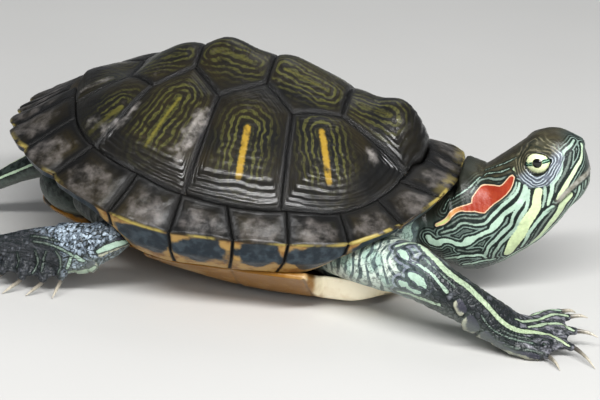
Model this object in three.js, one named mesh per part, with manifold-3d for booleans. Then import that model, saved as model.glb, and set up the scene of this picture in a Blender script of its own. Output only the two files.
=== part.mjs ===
// Red-eared slider turtle, a still life-size model. Millimetres, +X towards the head, +Y to the animal's left, +Z up.
// Every piece is laid out in the body frame, whose origin lies on the floor under the middle of the shell.
// The finished group is then moved so that the origin is at the bottom centre of its box.

import * as THREE from 'three';
import * as BufferGeometryUtils from 'three/addons/utils/BufferGeometryUtils.js';
import Module from 'manifold-3d';

const wasm = await Module();
wasm.setup();

// ---------------------------------------------------------------------------------------------------------------
// Driving dimensions
// ---------------------------------------------------------------------------------------------------------------

const GAP = 0.3;                       // clearance between neighbouring pieces

const SHELL_FRONT_X = 51.3;            // nuchal edge
const SHELL_REAR_X = -53.8;            // last marginal edge
const SHELL_MID_X = -4;                // widest station
const SHELL_HALF_WIDTH = 40.6;
const SHELL_APEX_Z = 49.6;             // dome without its keel
const SHELL_SIDE_RIM_Z = 21.3;         // ridge of the bridge marginals
const SHELL_FRONT_RIM_RISE = 7.3;
const SHELL_REAR_RIM_RISE = 9.2;
const SHELL_WALL = 2.75;
const FRONT_SQUARENESS = 2.5;          // exponents of the outline's superellipses
const REAR_SQUARENESS = 2.2;
const KEEL_WIDTH = 5.5;

const PLASTRON_BOTTOM_Z = 1.3;         // daylight under the belly
const PLASTRON_FRONT_RISE = 3.4;
const PLASTRON_REAR_RISE = 11;         // the belly slopes up towards the tail
const PLASTRON_WALL = 2.1;
const PLASTRON_FRONT_X = 44.6;
const PLASTRON_REAR_X = -46;

const HEAD_PITCH = THREE.MathUtils.degToRad(37);
const HEAD_BACK = new THREE.Vector3(62, 0, 22.5);   // origin of the head's own frame
const EYE_CENTRE = new THREE.Vector3(13.3, 4.9, 6.2); // in the head's frame
const EYE_RADIUS = 3.0;
const HEAD_SQUARENESS = 2.35;           // exponents of the head's and the neck's sections
const NECK_SQUARENESS = 2.2;

// ---------------------------------------------------------------------------------------------------------------
// Shapes shared by all the pieces
// ---------------------------------------------------------------------------------------------------------------

const smooth = (low, high, value) => THREE.MathUtils.smoothstep(value, low, high);
const bump = (value, centre, width) => Math.exp(-(((value - centre) / width) ** 2));

// One closed body from rings of points that all have the same count. The ends close on a point or on a flat fan.
function closedBody(rings) {
  const count = rings[0].length;
  const points = [];
  const triangles = [];
  const middle = (ring) => ring.reduce((sum, p) => sum.add(p), new THREE.Vector3()).divideScalar(count);
  for (const ring of rings) points.push(...ring);
  for (let r = 0; r + 1 < rings.length; r++) {
    for (let i = 0; i < count; i++) {
      const a = r * count + i;
      const b = r * count + ((i + 1) % count);
      triangles.push(a, b, b + count, a, b + count, a + count);
    }
  }
  const first = points.push(middle(rings[0])) - 1;
  const last = points.push(middle(rings.at(-1))) - 1;
  const lastStart = (rings.length - 1) * count;
  for (let i = 0; i < count; i++) {
    const next = (i + 1) % count;
    triangles.push(first, next, i, last, lastStart + i, lastStart + next);
  }
  const geometry = new THREE.BufferGeometry().setFromPoints(points);
  geometry.setIndex(triangles);
  return facingOut(geometry);
}

function facingOut(geometry) {
  const position = geometry.attributes.position;
  const index = geometry.index.array;
  const [a, b, c] = [new THREE.Vector3(), new THREE.Vector3(), new THREE.Vector3()];
  let volume = 0;
  for (let i = 0; i < index.length; i += 3) {
    a.fromBufferAttribute(position, index[i]);
    b.fromBufferAttribute(position, index[i + 1]);
    c.fromBufferAttribute(position, index[i + 2]);
    volume += a.dot(b.cross(c));
  }
  if (volume < 0) {
    for (let i = 0; i < index.length; i += 3) [index[i], index[i + 1]] = [index[i + 1], index[i]];
  }
  return geometry;
}

// A value read along a list of [place, value] pairs, eased between them.
function along(table, place) {
  if (place <= table[0][0]) return table[0][1];
  for (let i = 1; i < table.length; i++) {
    const [x0, y0] = table[i - 1];
    const [x1, y1] = table[i];
    if (place <= x1) {
      const slope = (k) => {
        if (k <= 0 || k >= table.length - 1) return 0;
        return (table[k + 1][1] - table[k - 1][1]) / (table[k + 1][0] - table[k - 1][0]);
      };
      const span = x1 - x0;
      const t = (place - x0) / span;
      const s0 = i === 1 ? (y1 - y0) / span : slope(i - 1);
      const s1 = i === table.length - 1 ? (y1 - y0) / span : slope(i);
      return y0 * (1 + 2 * t) * (1 - t) ** 2 + s0 * span * t * (1 - t) ** 2
        + y1 * t * t * (3 - 2 * t) + s1 * span * t * t * (t - 1);
    }
  }
  return table.at(-1)[1];
}

// A superellipse point at an angle, on half-axes across and up.
function squircle(angle, across, up, power) {
  const c = Math.cos(angle);
  const s = Math.sin(angle);
  const scale = (Math.abs(c) ** power + Math.abs(s) ** power) ** (-1 / power);
  return [across * c * scale, up * s * scale];
}

// A limb of round sections: stations give the centre, the half-height, the half-width and the roll of the section.
// It is lofted between two fractions of its length; grow swells it all round.
function limb(stations, { from = 0, to = 1, rings = 8, sides = 12, grow = 0 } = {}) {
  const path = new THREE.CatmullRomCurve3(stations.map((s) => new THREE.Vector3(...s.at)), false, 'centripetal');
  const last = stations.length - 1;
  const pick = (key, t) => {
    const k = Math.min(last - 1, Math.floor(t * last));
    return THREE.MathUtils.lerp(stations[k][key] ?? 0, stations[k + 1][key] ?? 0, t * last - k);
  };
  const result = [];
  for (let r = 0; r <= rings; r++) {
    const t = THREE.MathUtils.lerp(from, to, r / rings);
    const centre = path.getPoint(t);
    const forward = path.getTangent(t);
    const across = new THREE.Vector3(0, 0, 1).cross(forward).normalize();
    const up = forward.clone().cross(across);
    across.applyAxisAngle(forward, pick('roll', t));
    up.applyAxisAngle(forward, pick('roll', t));
    const end = r === 0 ? -grow : r === rings ? grow : 0;
    const ring = [];
    for (let i = 0; i < sides; i++) {
      const angle = (i / sides) * 2 * Math.PI;
      const x = (pick('wide', t) + grow) * Math.cos(angle);
      const y = (pick('up', t) + grow) * Math.sin(angle);
      ring.push(centre.clone().addScaledVector(across, x).addScaledVector(up, y).addScaledVector(forward, end));
    }
    result.push(ring);
  }
  return closedBody(result);
}

// ---------------------------------------------------------------------------------------------------------------
// Joins and cuts
// ---------------------------------------------------------------------------------------------------------------

function solid(geometry) {
  const bare = geometry.clone();
  bare.deleteAttribute('normal');
  bare.deleteAttribute('uv');
  const merged = BufferGeometryUtils.mergeVertices(bare, 1e-4);
  const index = merged.index.array;
  const vertProperties = new Float32Array(merged.attributes.position.array);
  return new wasm.Manifold(new wasm.Mesh({ numProp: 3, vertProperties, triVerts: new Uint32Array(index) }));
}

function geometryOf(manifold) {
  const mesh = manifold.getMesh();
  const geometry = new THREE.BufferGeometry();
  geometry.setAttribute('position', new THREE.BufferAttribute(new Float32Array(mesh.vertProperties), 3));
  geometry.setIndex(new THREE.BufferAttribute(new Uint32Array(mesh.triVerts), 1));
  return geometry;
}

const cut = (geometry, ...tools) => geometryOf(tools.reduce((body, t) => body.subtract(solid(t)), solid(geometry)));
const join = (...pieces) => geometryOf(pieces.map(solid).reduce((body, piece) => body.add(piece)));

// The floor as a block, for cutting small flats where the animal stands.
const floorBlock = new THREE.BoxGeometry(400, 400, 40).translate(0, 0, -20);

// ---------------------------------------------------------------------------------------------------------------
// Carapace
// ---------------------------------------------------------------------------------------------------------------

// The gauge of a plan point: 0 at the middle of the shell, 1 on its edge.
function shellGauge(x, y) {
  const front = x >= SHELL_MID_X;
  const reach = front ? SHELL_FRONT_X - SHELL_MID_X : SHELL_MID_X - SHELL_REAR_X;
  const power = front ? FRONT_SQUARENESS : REAR_SQUARENESS;
  const lengthwise = Math.abs(x - SHELL_MID_X) / reach;
  return (lengthwise ** power + (Math.abs(y) / SHELL_HALF_WIDTH) ** power) ** (1 / power);
}

// The direction of a plan point from the middle of the shell, in degrees from straight ahead, the same on both sides.
const bearing = (x, y) => THREE.MathUtils.radToDeg(Math.atan2(Math.abs(y), x - SHELL_MID_X));

function rimHeight(angle) {
  return SHELL_SIDE_RIM_Z + SHELL_FRONT_RIM_RISE * (1 - smooth(10, 48, angle))
    + SHELL_REAR_RIM_RISE * smooth(92, 160, angle);
}

// The keel: a low ridge with a knob towards the rear end of each vertebral scute. [place, height, length] of knobs.
const KEEL_KNOBS = [[38.5, 6.2, 6.5], [10, 1.4, 6], [-4, 3.0, 5.5], [-14, 1.6, 5], [-27, -2.6, 5], [-44, 2.4, 7]];
const KEEL_RIDGE = 0.8;
const KEEL_MID_X = -2;

function keelHeight(x, y) {
  const ridge = KEEL_RIDGE * (1 - smooth(36, 44, Math.abs(x - KEEL_MID_X)));
  const knobs = KEEL_KNOBS.reduce((sum, [at, height, length]) => sum + height * bump(x, at, length), 0);
  return ridge * bump(y, 0, KEEL_WIDTH) + knobs * bump(y, 0, KEEL_WIDTH * 1.2);
}

// Height of the carapace's upper face over a plan point. The marginals slope straight down from a shelf to the rim,
// and the dome rises from that shelf. Both change from the sides to the front and the rear.
const SHELF_GAUGE = { side: 0.86, front: -0.06, rear: -0.02 };
const SHELF_RISE = { side: 6.6, front: -3.4, rear: -2.0 };
const DOME_POWER = { side: 1.82, front: 0.5, rear: 0 };

function shellTop(x, y) {
  const gauge = shellGauge(x, y);
  const angle = bearing(x, y);
  const rim = rimHeight(angle);
  const frontness = 1 - smooth(20, 60, angle);
  const rearness = smooth(100, 150, angle);
  const mixed = ({ side, front, rear }) => side + front * frontness + rear * rearness;
  const shelf = mixed({ ...SHELF_GAUGE, front: SHELF_GAUGE.front * smooth(4, 22, angle) });
  const shelfZ = rim + mixed(SHELF_RISE);
  if (gauge >= shelf) return THREE.MathUtils.lerp(shelfZ, rim, (gauge - shelf) / (1 - shelf));
  return shelfZ + (SHELL_APEX_Z - shelfZ) * (1 - (gauge / shelf) ** mixed(DOME_POWER)) + keelHeight(x, y);
}

// How far a bearing lies on the bridge, where the marginals turn down to meet the plastron.
const bridging = (angle) => smooth(36, 52, angle) * (1 - smooth(106, 122, angle));

// The rear rim is notched at the seams between its marginals. Bearings in degrees, and the notches' depth and width.
const REAR_NOTCHES = { bearings: [135, 150, 165, 175], depth: 1.1, width: 2 };

const CARAPACE_SIDES = 72;
const TOP_LEVELS = [0.02, 0.17, 0.32, 0.47, 0.61, 0.74, 0.86, 1];
const INNER_LEVELS = [0.8, 0.6, 0.3];
// From the edge under the marginals and back in: gauge and drop below the rim, on the free rim and on the bridge.
const EDGE_ROWS = [
  { level: 0.985, drop: 1.6, bridgeLevel: 0.955, bridgeDrop: 5.2 },
  { level: 0.95, drop: 2.3, bridgeLevel: 0.865, bridgeDrop: 9.0 },
  { level: 0.9, drop: 1.7, bridgeLevel: 0.83, bridgeDrop: 7.2 },
];

function carapace() {
  const ringAt = (level, shape) => {
    const ring = [];
    for (let i = 0; i < CARAPACE_SIDES; i++) {
      const turn = (i / CARAPACE_SIDES) * 2 * Math.PI;
      const reach = level / shellGauge(SHELL_MID_X + Math.cos(turn), Math.sin(turn));
      const x = SHELL_MID_X + Math.cos(turn) * reach;
      const y = Math.sin(turn) * reach;
      ring.push(shape(x, y, bearing(x, y)));
    }
    return ring;
  };
  const notched = (x, y, angle) => {
    const inward = REAR_NOTCHES.bearings.reduce((sum, at) => sum + bump(angle, at, REAR_NOTCHES.width), 0);
    const k = 1 - (REAR_NOTCHES.depth * inward) / Math.hypot(x - SHELL_MID_X, y);
    return [SHELL_MID_X + (x - SHELL_MID_X) * k, y * k];
  };
  const rings = TOP_LEVELS.map((level) => ringAt(level, (x, y, angle) => {
    const [px, py] = level === 1 ? notched(x, y, angle) : [x, y];
    return new THREE.Vector3(px, py, shellTop(x, y));
  }));
  for (const row of EDGE_ROWS) {
    rings.push(ringAt(1, (x, y, angle) => {
      const level = THREE.MathUtils.lerp(row.level, row.bridgeLevel, bridging(angle));
      const drop = THREE.MathUtils.lerp(row.drop, row.bridgeDrop, bridging(angle));
      return new THREE.Vector3(SHELL_MID_X + (x - SHELL_MID_X) * level, y * level, rimHeight(angle) - drop);
    }));
  }
  const inside = (x, y) => new THREE.Vector3(x, y, shellTop(x, y) - keelHeight(x, y) - SHELL_WALL);
  for (const level of INNER_LEVELS) rings.push(ringAt(level, inside));
  return closedBody(rings);
}

// ---------------------------------------------------------------------------------------------------------------
// Plastron
// ---------------------------------------------------------------------------------------------------------------

// Half-width of the plate along the body, and the height of its underside.
const PLASTRON_PLAN = [[PLASTRON_REAR_X, 5], [-44.5, 10], [-40, 14.5], [-32, 18], [-22, 20], [26, 22.4], [34, 21],
  [40, 17], [43.4, 11], [PLASTRON_FRONT_X, 5]];
const BRIDGE_FRONT_X = 23;
const BRIDGE_REAR_X = -14;
const BRIDGE_HALF_WIDTH = 33.9;
const BRIDGE_BELOW_RIM = 9.7;
const BRIDGE_POWER = 1.35;
const BELLY_HALF_WIDTH = 20;
const BELLY_SAG = 0.5;                 // how much the flat belly curves up to its sides
const PLASTRON_ROWS = [PLASTRON_REAR_X, -44.5, -40, -32, -24, -16, BRIDGE_REAR_X, -5, 4, 14, BRIDGE_FRONT_X, 25, 31,
  37, 41.5, PLASTRON_FRONT_X];
const PLASTRON_COLUMNS = 10;
const PLASTRON_EDGE = 0.35;            // thickness of the plate's edge over that of its middle
const PLASTRON_BEVEL = 1.4;            // how far the bridge's upper edge leans in

function plastronUnderside(x, y) {
  const lift = PLASTRON_FRONT_RISE * smooth(30, 46, x) + PLASTRON_REAR_RISE * (1 - smooth(-55, 15, x));
  const t = Math.max(0, (Math.abs(y) - BELLY_HALF_WIDTH) / (BRIDGE_HALF_WIDTH - BELLY_HALF_WIDTH));
  const belly = PLASTRON_BOTTOM_Z + lift + BELLY_SAG * (Math.abs(y) / BELLY_HALF_WIDTH) ** 2;
  const bridgeTop = rimHeight(bearing(x, BRIDGE_HALF_WIDTH)) - BRIDGE_BELOW_RIM;
  return THREE.MathUtils.lerp(belly, bridgeTop, Math.min(1, t) ** BRIDGE_POWER);
}

function plastron() {
  const halfWidth = (x) => {
    const bridge = x <= BRIDGE_FRONT_X && x >= BRIDGE_REAR_X;
    return bridge ? BRIDGE_HALF_WIDTH : along(PLASTRON_PLAN, x);
  };
  const rings = PLASTRON_ROWS.map((x) => {
    const ring = [];
    const push = (side, top) => {
      const y = halfWidth(x) * side;
      const z = plastronUnderside(x, y);
      const edge = Math.abs(side) === 1 ? PLASTRON_EDGE : 1;
      const inward = top * PLASTRON_BEVEL * smooth(20, 34, Math.abs(y)) * Math.sign(side);
      ring.push(new THREE.Vector3(x, y - inward, z + top * PLASTRON_WALL * edge));
    };
    for (let i = 0; i <= PLASTRON_COLUMNS; i++) push(-1 + (2 * i) / PLASTRON_COLUMNS, 0);
    for (let i = PLASTRON_COLUMNS; i >= 0; i--) push(-1 + (2 * i) / PLASTRON_COLUMNS, 1);
    return ring;
  });
  return closedBody(rings);
}

// ---------------------------------------------------------------------------------------------------------------
// Head, neck, eyes
// ---------------------------------------------------------------------------------------------------------------

const HEAD_TOP = [[-1, 9.8], [4, 10], [8, 10.3], [12, 10.7], [15.4, 10.9], [17.7, 10.3], [19.7, 9.2], [21, 7.6],
  [22, 6.2], [23, 4.6]];
const HEAD_BOTTOM = [[-1, -11.3], [3.2, -10.9], [6.4, -10.1], [9.5, -9.1], [12.7, -7.8], [16.3, -6.9], [18, -6],
  [19.4, -4.9], [20.6, -3.1], [21.6, -0.6], [22.2, 1.6], [23, 3.3]];
const HEAD_WIDE = [[-1, 9.3], [4, 9.2], [8, 8.7], [11, 8.3], [14, 7.7], [17, 6.3], [19.5, 4.8], [21.5, 3.4],
  [23, 1.5]];
const HEAD_STATIONS = [0.15, 3, 6, 9, 11.5, 14, 16.5, 18.5, 20.2, 21.6, 22.5, 23];

function headFrame(geometry) {
  return geometry.rotateY(-HEAD_PITCH).translate(HEAD_BACK.x, HEAD_BACK.y, HEAD_BACK.z);
}

function head() {
  const sides = 24;
  const rings = HEAD_STATIONS.map((x) => {
    const top = along(HEAD_TOP, x);
    const bottom = along(HEAD_BOTTOM, x);
    const ring = [];
    for (let i = 0; i < sides; i++) {
      const [y, z] = squircle((i / sides) * 2 * Math.PI, along(HEAD_WIDE, x), (top - bottom) / 2, HEAD_SQUARENESS);
      ring.push(new THREE.Vector3(x, y, z + (top + bottom) / 2));
    }
    return ring;
  });
  const body = closedBody(rings);
  const socket = (side) => new THREE.SphereGeometry(EYE_RADIUS + GAP, 12, 8)
    .translate(EYE_CENTRE.x, EYE_CENTRE.y * side, EYE_CENTRE.z);
  return headFrame(cut(body, socket(1), socket(-1)));
}

function eye(side) {
  const ball = new THREE.SphereGeometry(EYE_RADIUS, 12, 8).translate(EYE_CENTRE.x, EYE_CENTRE.y * side, EYE_CENTRE.z);
  ball.deleteAttribute('normal');
  ball.deleteAttribute('uv');
  return headFrame(facingOut(BufferGeometryUtils.mergeVertices(ball, 1e-4)));
}

// Neck sections: centre, pitch, and half-sizes, ending on the plane where the head begins.
const NECK = [
  { x: 37, z: 17.6, pitch: 0, up: 7.2, down: 7.2, wide: 9.5 },
  { x: 46.4, z: 17.4, pitch: 3, up: 7.9, down: 8.4, wide: 11 },
  { x: 53.2, z: 17.6, pitch: 9, up: 9.6, down: 11.4, wide: 11.2 },
  { x: 57.5, z: 19, pitch: 22, up: 11.5, down: 11.5, wide: 10.5 },
  { x: HEAD_BACK.x - 0.1, z: HEAD_BACK.z - 0.1, pitch: 37, up: 9.8, down: 11.3, wide: 9.3 },
];

function neck(grow = 0) {
  const sides = 20;
  const rows = 9;
  const rings = [];
  for (let r = 0; r <= rows; r++) {
    const place = (r / rows) * (NECK.length - 1);
    const read = (key) => along(NECK.map((s, i) => [i, s[key]]), place);
    const pitch = THREE.MathUtils.degToRad(read('pitch'));
    const set = r === 0 ? -grow : 0;
    const ring = [];
    for (let i = 0; i < sides; i++) {
      const angle = (i / sides) * 2 * Math.PI;
      const height = Math.sin(angle) >= 0 ? read('up') : read('down');
      const [y, v] = squircle(angle, read('wide') + grow, height + grow, NECK_SQUARENESS);
      const x = read('x') + set * Math.cos(pitch) - v * Math.sin(pitch);
      const z = read('z') + set * Math.sin(pitch) + v * Math.cos(pitch);
      ring.push(new THREE.Vector3(x, y, z));
    }
    rings.push(ring);
  }
  return closedBody(rings);
}

// ---------------------------------------------------------------------------------------------------------------
// Limbs
// ---------------------------------------------------------------------------------------------------------------

// Stations run from the root inside the trunk to the wrist or ankle. Roll turns the section about the limb.
// The right foreleg reaches forward; the left one pushes back beside the shell.
const FORELEG_RIGHT = [
  { at: [30, -17, 12.6], up: 6.6, wide: 10 },
  { at: [37.5, -24.5, 14], up: 6.4, wide: 8.6 },
  { at: [46, -30.2, 15.5], up: 6.2, wide: 5 },
  { at: [53.3, -33.2, 13], up: 4.6, wide: 4.2 },
  { at: [59.2, -33.3, 10.2], up: 4.1, wide: 3.8, roll: 0.2 },
  { at: [64.3, -32, 7.2], up: 3.7, wide: 4.6, roll: 0.4 },
  { at: [69, -30.6, 4.7], up: 3.0, wide: 5.2, roll: 0.4 },
];
const FORELEG_LEFT = [
  { at: [30, 17, 12.6], up: 6.6, wide: 10 },
  { at: [36, 25, 14.2], up: 6.4, wide: 8.4 },
  { at: [41.5, 33, 14.6], up: 6.2, wide: 5.2 },
  { at: [43.2, 39.6, 12.6], up: 4.9, wide: 4.5 },
  { at: [43.3, 43.6, 9], up: 4.2, wide: 4.2 },
  { at: [43.6, 46.4, 5.8], up: 3.5, wide: 4.6 },
  { at: [45.2, 49.2, 3.2], up: 2.8, wide: 5.0 },
];
// The right hind leg is stretched back, toes to the ground; the left one is drawn forward and flat.
const HINDLEG_RIGHT = [
  { at: [-27, -17, 18.5], up: 6.0, wide: 8.5 },
  { at: [-20.5, -25.5, 17.2], up: 5.4, wide: 6.6 },
  { at: [-19.2, -30.8, 14.4], up: 4.5, wide: 3.9 },
  { at: [-23.6, -32.8, 13], up: 5.2, wide: 3.5 },
  { at: [-28, -33, 11.5], up: 6.1, wide: 3.3 },
  { at: [-32.5, -33, 10.8], up: 6.0, wide: 3.1 },
];
const HINDLEG_LEFT = [
  { at: [-27, 17, 18.5], up: 6.0, wide: 8.5 },
  { at: [-21.5, 25.5, 16.8], up: 5.4, wide: 6.6 },
  { at: [-19.6, 31.2, 13.2], up: 4.5, wide: 4.4 },
  { at: [-20, 35.8, 10], up: 4.2, wide: 4.3 },
  { at: [-21.2, 39.4, 6.8], up: 3.7, wide: 4.8 },
  { at: [-24, 42.2, 3.8], up: 3.0, wide: 5.2 },
];
const TAIL = [
  { at: [-39, 0, 19], up: 4.4, wide: 6.2 },
  { at: [-47, 0.3, 17.8], up: 3.5, wide: 4.2 },
  { at: [-53, 0.9, 14.9], up: 2.7, wide: 3.0 },
  { at: [-59, 1.6, 11.1], up: 2.1, wide: 2.2 },
  { at: [-65, 2.5, 7.2], up: 1.5, wide: 1.6 },
  { at: [-71, 3.6, 3.6], up: 0.7, wide: 0.8 },
];
const TRUNK = [
  { at: [-44.5, 0, 20.5], up: 5, wide: 10 },
  { at: [-37, 0, 23], up: 8.4, wide: 19 },
  { at: [-24, 0, 25], up: 13, wide: 26 },
  { at: [-8, 0, 25.3], up: 16.3, wide: 30 },
  { at: [8, 0, 23.7], up: 17.2, wide: 30 },
  { at: [24, 0, 21], up: 14.8, wide: 28 },
  { at: [36, 0, 17.6], up: 10, wide: 23 },
  { at: [44, 0, 16.4], up: 7, wide: 13 },
];
const KNEE = 0.58;                     // fraction of a limb at which its lower leg begins
const CUT = 0.006;                     // fraction of a limb left open at each joint

const limbs = {
  foreleg_right: FORELEG_RIGHT,
  foreleg_left: FORELEG_LEFT,
  hindleg_right: HINDLEG_RIGHT,
  hindleg_left: HINDLEG_LEFT,
};

// The upper and lower leg; each piece is cut by the swollen shape of the one above it.
const upperLeg = (stations, grow = 0) => limb(stations, { to: KNEE - CUT, rings: 4, sides: 12, grow });
const lowerLeg = (stations, grow = 0) => limb(stations, { from: KNEE + CUT, rings: 4, sides: 12, grow });

function trunk() {
  const roots = Object.values(limbs).map((stations) => upperLeg(stations, GAP));
  const tailRoot = limb(TAIL, { to: 0.3, rings: 2, grow: GAP, sides: 8 });
  return cut(limb(TRUNK, { rings: 8, sides: 16 }), ...roots, tailRoot, neck(GAP));
}

// ---------------------------------------------------------------------------------------------------------------
// Feet: a palm, toes, webs between the toes, and claws
// ---------------------------------------------------------------------------------------------------------------

// Toes are given as root and tip, and the claw runs on from the tip to its own point. The last hind toe has none.
const FOREFOOT_RIGHT = {
  sole: [0.074, -0.374, 0.925],
  palm: [
    { at: [68.6, -30.6, 4.7], up: 2.9, wide: 5.2, roll: 0.4 },
    { at: [73, -29.6, 3.7], up: 2.2, wide: 5.8, roll: 0.38 },
    { at: [76.5, -28.8, 3.6], up: 1.5, wide: 5.6, roll: 0.38 },
  ],
  toes: [
    { root: [72.5, -24.5, 5.4], tip: [78.6, -20.8, 6.7], claw: [81.6, -19.4, 6.2], thick: 1.3 },
    { root: [73.5, -25.6, 5.0], tip: [80.6, -21.6, 6.1], claw: [84.4, -20.6, 5.9], thick: 1.35 },
    { root: [75, -27.6, 4.3], tip: [82.6, -25.3, 4.5], claw: [87.3, -25.6, 3.8], thick: 1.4 },
    { root: [75, -29.8, 3.6], tip: [82.6, -30.2, 2.6], claw: [87.8, -34.2, 0.2], thick: 1.4 },
    { root: [73, -32.4, 2.4], tip: [77.6, -34.2, 1.5], claw: [80.5, -37.6, 0.2], thick: 1.3 },
  ],
};
const FOREFOOT_LEFT = {
  sole: [0, 0, 1],
  palm: [
    { at: [45, 48.8, 3.2], up: 2.6, wide: 5.0 },
    { at: [47.4, 51.6, 1.9], up: 2.0, wide: 5.6 },
    { at: [49.4, 53.4, 1.35], up: 1.5, wide: 5.6 },
  ],
  toes: [
    { root: [52, 49.6, 1.05], tip: [57.4, 49.6, 0.9], claw: [61, 49.4, 0.2], thick: 1.3 },
    { root: [51.6, 51.4, 1.05], tip: [58, 53.4, 0.9], claw: [62.2, 54.4, 0.2], thick: 1.35 },
    { root: [50.6, 53, 1.05], tip: [56.4, 57.4, 0.9], claw: [60, 59.8, 0.2], thick: 1.4 },
    { root: [48.8, 54.2, 1.05], tip: [52.6, 60, 0.9], claw: [55, 63.4, 0.2], thick: 1.4 },
    { root: [46.4, 54.6, 1.05], tip: [47.4, 59.6, 0.9], claw: [47.8, 63, 0.2], thick: 1.3 },
  ],
};
const HINDFOOT_RIGHT = {
  sole: [0, -0.906, 0.422],
  palm: [
    { at: [-32.3, -33, 10.8], up: 5.6, wide: 3.0 },
    { at: [-37, -33.1, 10.4], up: 5.0, wide: 2.5 },
    { at: [-42, -33.4, 9.9], up: 4.2, wide: 2.1 },
    { at: [-46.5, -33.4, 9.6], up: 2.8, wide: 1.7 },
  ],
  toes: [
    { root: [-32.6, -33.6, 8], tip: [-32.2, -35.4, 4.2], claw: [-33.7, -37, 0.2], thick: 1.45 },
    { root: [-36.4, -33.7, 7.8], tip: [-36.4, -36, 3.4], claw: [-39.7, -37.7, 0.2], thick: 1.5 },
    { root: [-40.4, -33.9, 7.8], tip: [-41.3, -36.2, 3.4], claw: [-45, -38.2, 0.2], thick: 1.5 },
    { root: [-44, -33.8, 8.2], tip: [-46.2, -35.9, 3.9], claw: [-50, -37.8, 0.2], thick: 1.45 },
    { root: [-46.8, -33.6, 9], tip: [-50.8, -35, 5.2], thick: 1.35 },
  ],
};
const HINDFOOT_LEFT = {
  sole: [0, 0, 1],
  palm: [
    { at: [-24, 42.2, 3.8], up: 2.9, wide: 5.2 },
    { at: [-27.5, 45.2, 2.1], up: 2.2, wide: 6.4 },
    { at: [-30.9, 48.2, 1.5], up: 1.6, wide: 6.6 },
  ],
  toes: [
    { root: [-27.1, 49.6, 1.1], tip: [-26.7, 55, 0.95], claw: [-26.5, 58.8, 0.2], thick: 1.45 },
    { root: [-29.7, 50, 1.1], tip: [-31.3, 56.8, 0.95], claw: [-32.3, 61, 0.2], thick: 1.5 },
    { root: [-32.1, 49.6, 1.1], tip: [-36.1, 56.2, 0.95], claw: [-38.5, 59.8, 0.2], thick: 1.5 },
    { root: [-33.9, 48.2, 1.1], tip: [-40.1, 52.8, 0.95], claw: [-43.5, 55.2, 0.2], thick: 1.45 },
    { root: [-34.5, 46, 1.1], tip: [-40.5, 48.2, 0.95], thick: 1.35 },
  ],
};
const WEB_REACH = 0.72;                // how far along the toes the web is stretched
const WEB_HALF_THICKNESS = 0.45;
const TOE_ARCH = 0.25;                 // the toe's middle stands this much above a straight line
const TOE_SIZES = [1.05, 1, 0.72];     // thickness at the root, the middle and the tip
const CLAW_SIZES = [0.72, 0.52, 0.3];  // half-height at the base, the middle and the point
const CLAW_ARCH = 0.35;
const CLAW_WIDTH = 0.85;               // breadth over height

const point = (list) => new THREE.Vector3(...list);

function toe({ root, tip, thick }) {
  const start = point(root);
  const end = point(tip);
  const middle = start.clone().lerp(end, 0.55);
  middle.z += TOE_ARCH;
  const stations = [start, middle, end].map((at, i) => {
    const size = thick * TOE_SIZES[i];
    return { at: at.toArray(), up: size, wide: size };
  });
  return limb(stations, { rings: 2, sides: 6 });
}

function web(a, b, sole) {
  const normal = point(sole).multiplyScalar(WEB_HALF_THICKNESS);
  const corners = [point(a.root), point(a.root).lerp(point(a.tip), WEB_REACH),
    point(b.root).lerp(point(b.tip), WEB_REACH), point(b.root)];
  return closedBody([-1, 1].map((side) => corners.map((corner) => corner.clone().addScaledVector(normal, side))));
}

function foot({ palm, toes, sole }, leg) {
  const webs = toes.slice(1).map((next, i) => web(toes[i], next, sole));
  return cut(join(limb(palm, { rings: 3, sides: 10 }), ...toes.map(toe), ...webs), lowerLeg(leg, GAP), floorBlock);
}

function claw({ root, tip, claw: end }) {
  const start = point(tip);
  const toeAxis = start.clone().sub(point(root)).normalize();
  start.addScaledVector(toeAxis, GAP);
  const finish = point(end);
  const middle = start.clone().lerp(finish, 0.5).addScaledVector(toeAxis, CLAW_ARCH);
  const stations = [start, middle, finish].map((at, i) => (
    { at: at.toArray(), up: CLAW_SIZES[i], wide: CLAW_SIZES[i] * CLAW_WIDTH }
  ));
  return cut(limb(stations, { rings: 2, sides: 5 }), floorBlock);
}

// ---------------------------------------------------------------------------------------------------------------
// The whole animal
// ---------------------------------------------------------------------------------------------------------------

const finish = (color, roughness) => new THREE.MeshStandardMaterial({ color, roughness, metalness: 0 });
const finishes = {
  shell: finish(0x2e2f24, 0.25),
  belly: finish(0xd9c27a, 0.45),
  skin: finish(0x5f6e66, 0.5),
  foot: finish(0x4a5350, 0.45),
  eye: finish(0xd9dfa0, 0.08),
  claw: finish(0x6a655a, 0.35),
};

const turtle = new THREE.Group();

function add(name, geometry, material) {
  const mesh = new THREE.Mesh(geometry, material.clone());
  mesh.name = name;
  turtle.add(mesh);
}

add('carapace', carapace(), finishes.shell);
add('plastron', plastron(), finishes.belly);
add('trunk', trunk(), finishes.skin);
add('neck', neck(), finishes.skin);
add('head', head(), finishes.skin);
add('eye_left', eye(1), finishes.eye);
add('eye_right', eye(-1), finishes.eye);
add('tail', limb(TAIL, { rings: 7, sides: 8 }), finishes.skin);

const feet = {
  foreleg_right: FOREFOOT_RIGHT,
  foreleg_left: FOREFOOT_LEFT,
  hindleg_right: HINDFOOT_RIGHT,
  hindleg_left: HINDFOOT_LEFT,
};
for (const [name, stations] of Object.entries(limbs)) {
  add(`${name}_upper`, upperLeg(stations), finishes.skin);
  add(`${name}_lower`, cut(lowerLeg(stations), upperLeg(stations, GAP)), finishes.skin);
  const shape = feet[name];
  add(name.replace('leg', 'foot'), foot(shape, stations), finishes.foot);
  shape.toes.forEach((each, i) => {
    if (each.claw) add(`${name.replace('leg', 'foot')}_claw_${i + 1}`, claw(each), finishes.claw);
  });
}

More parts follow.
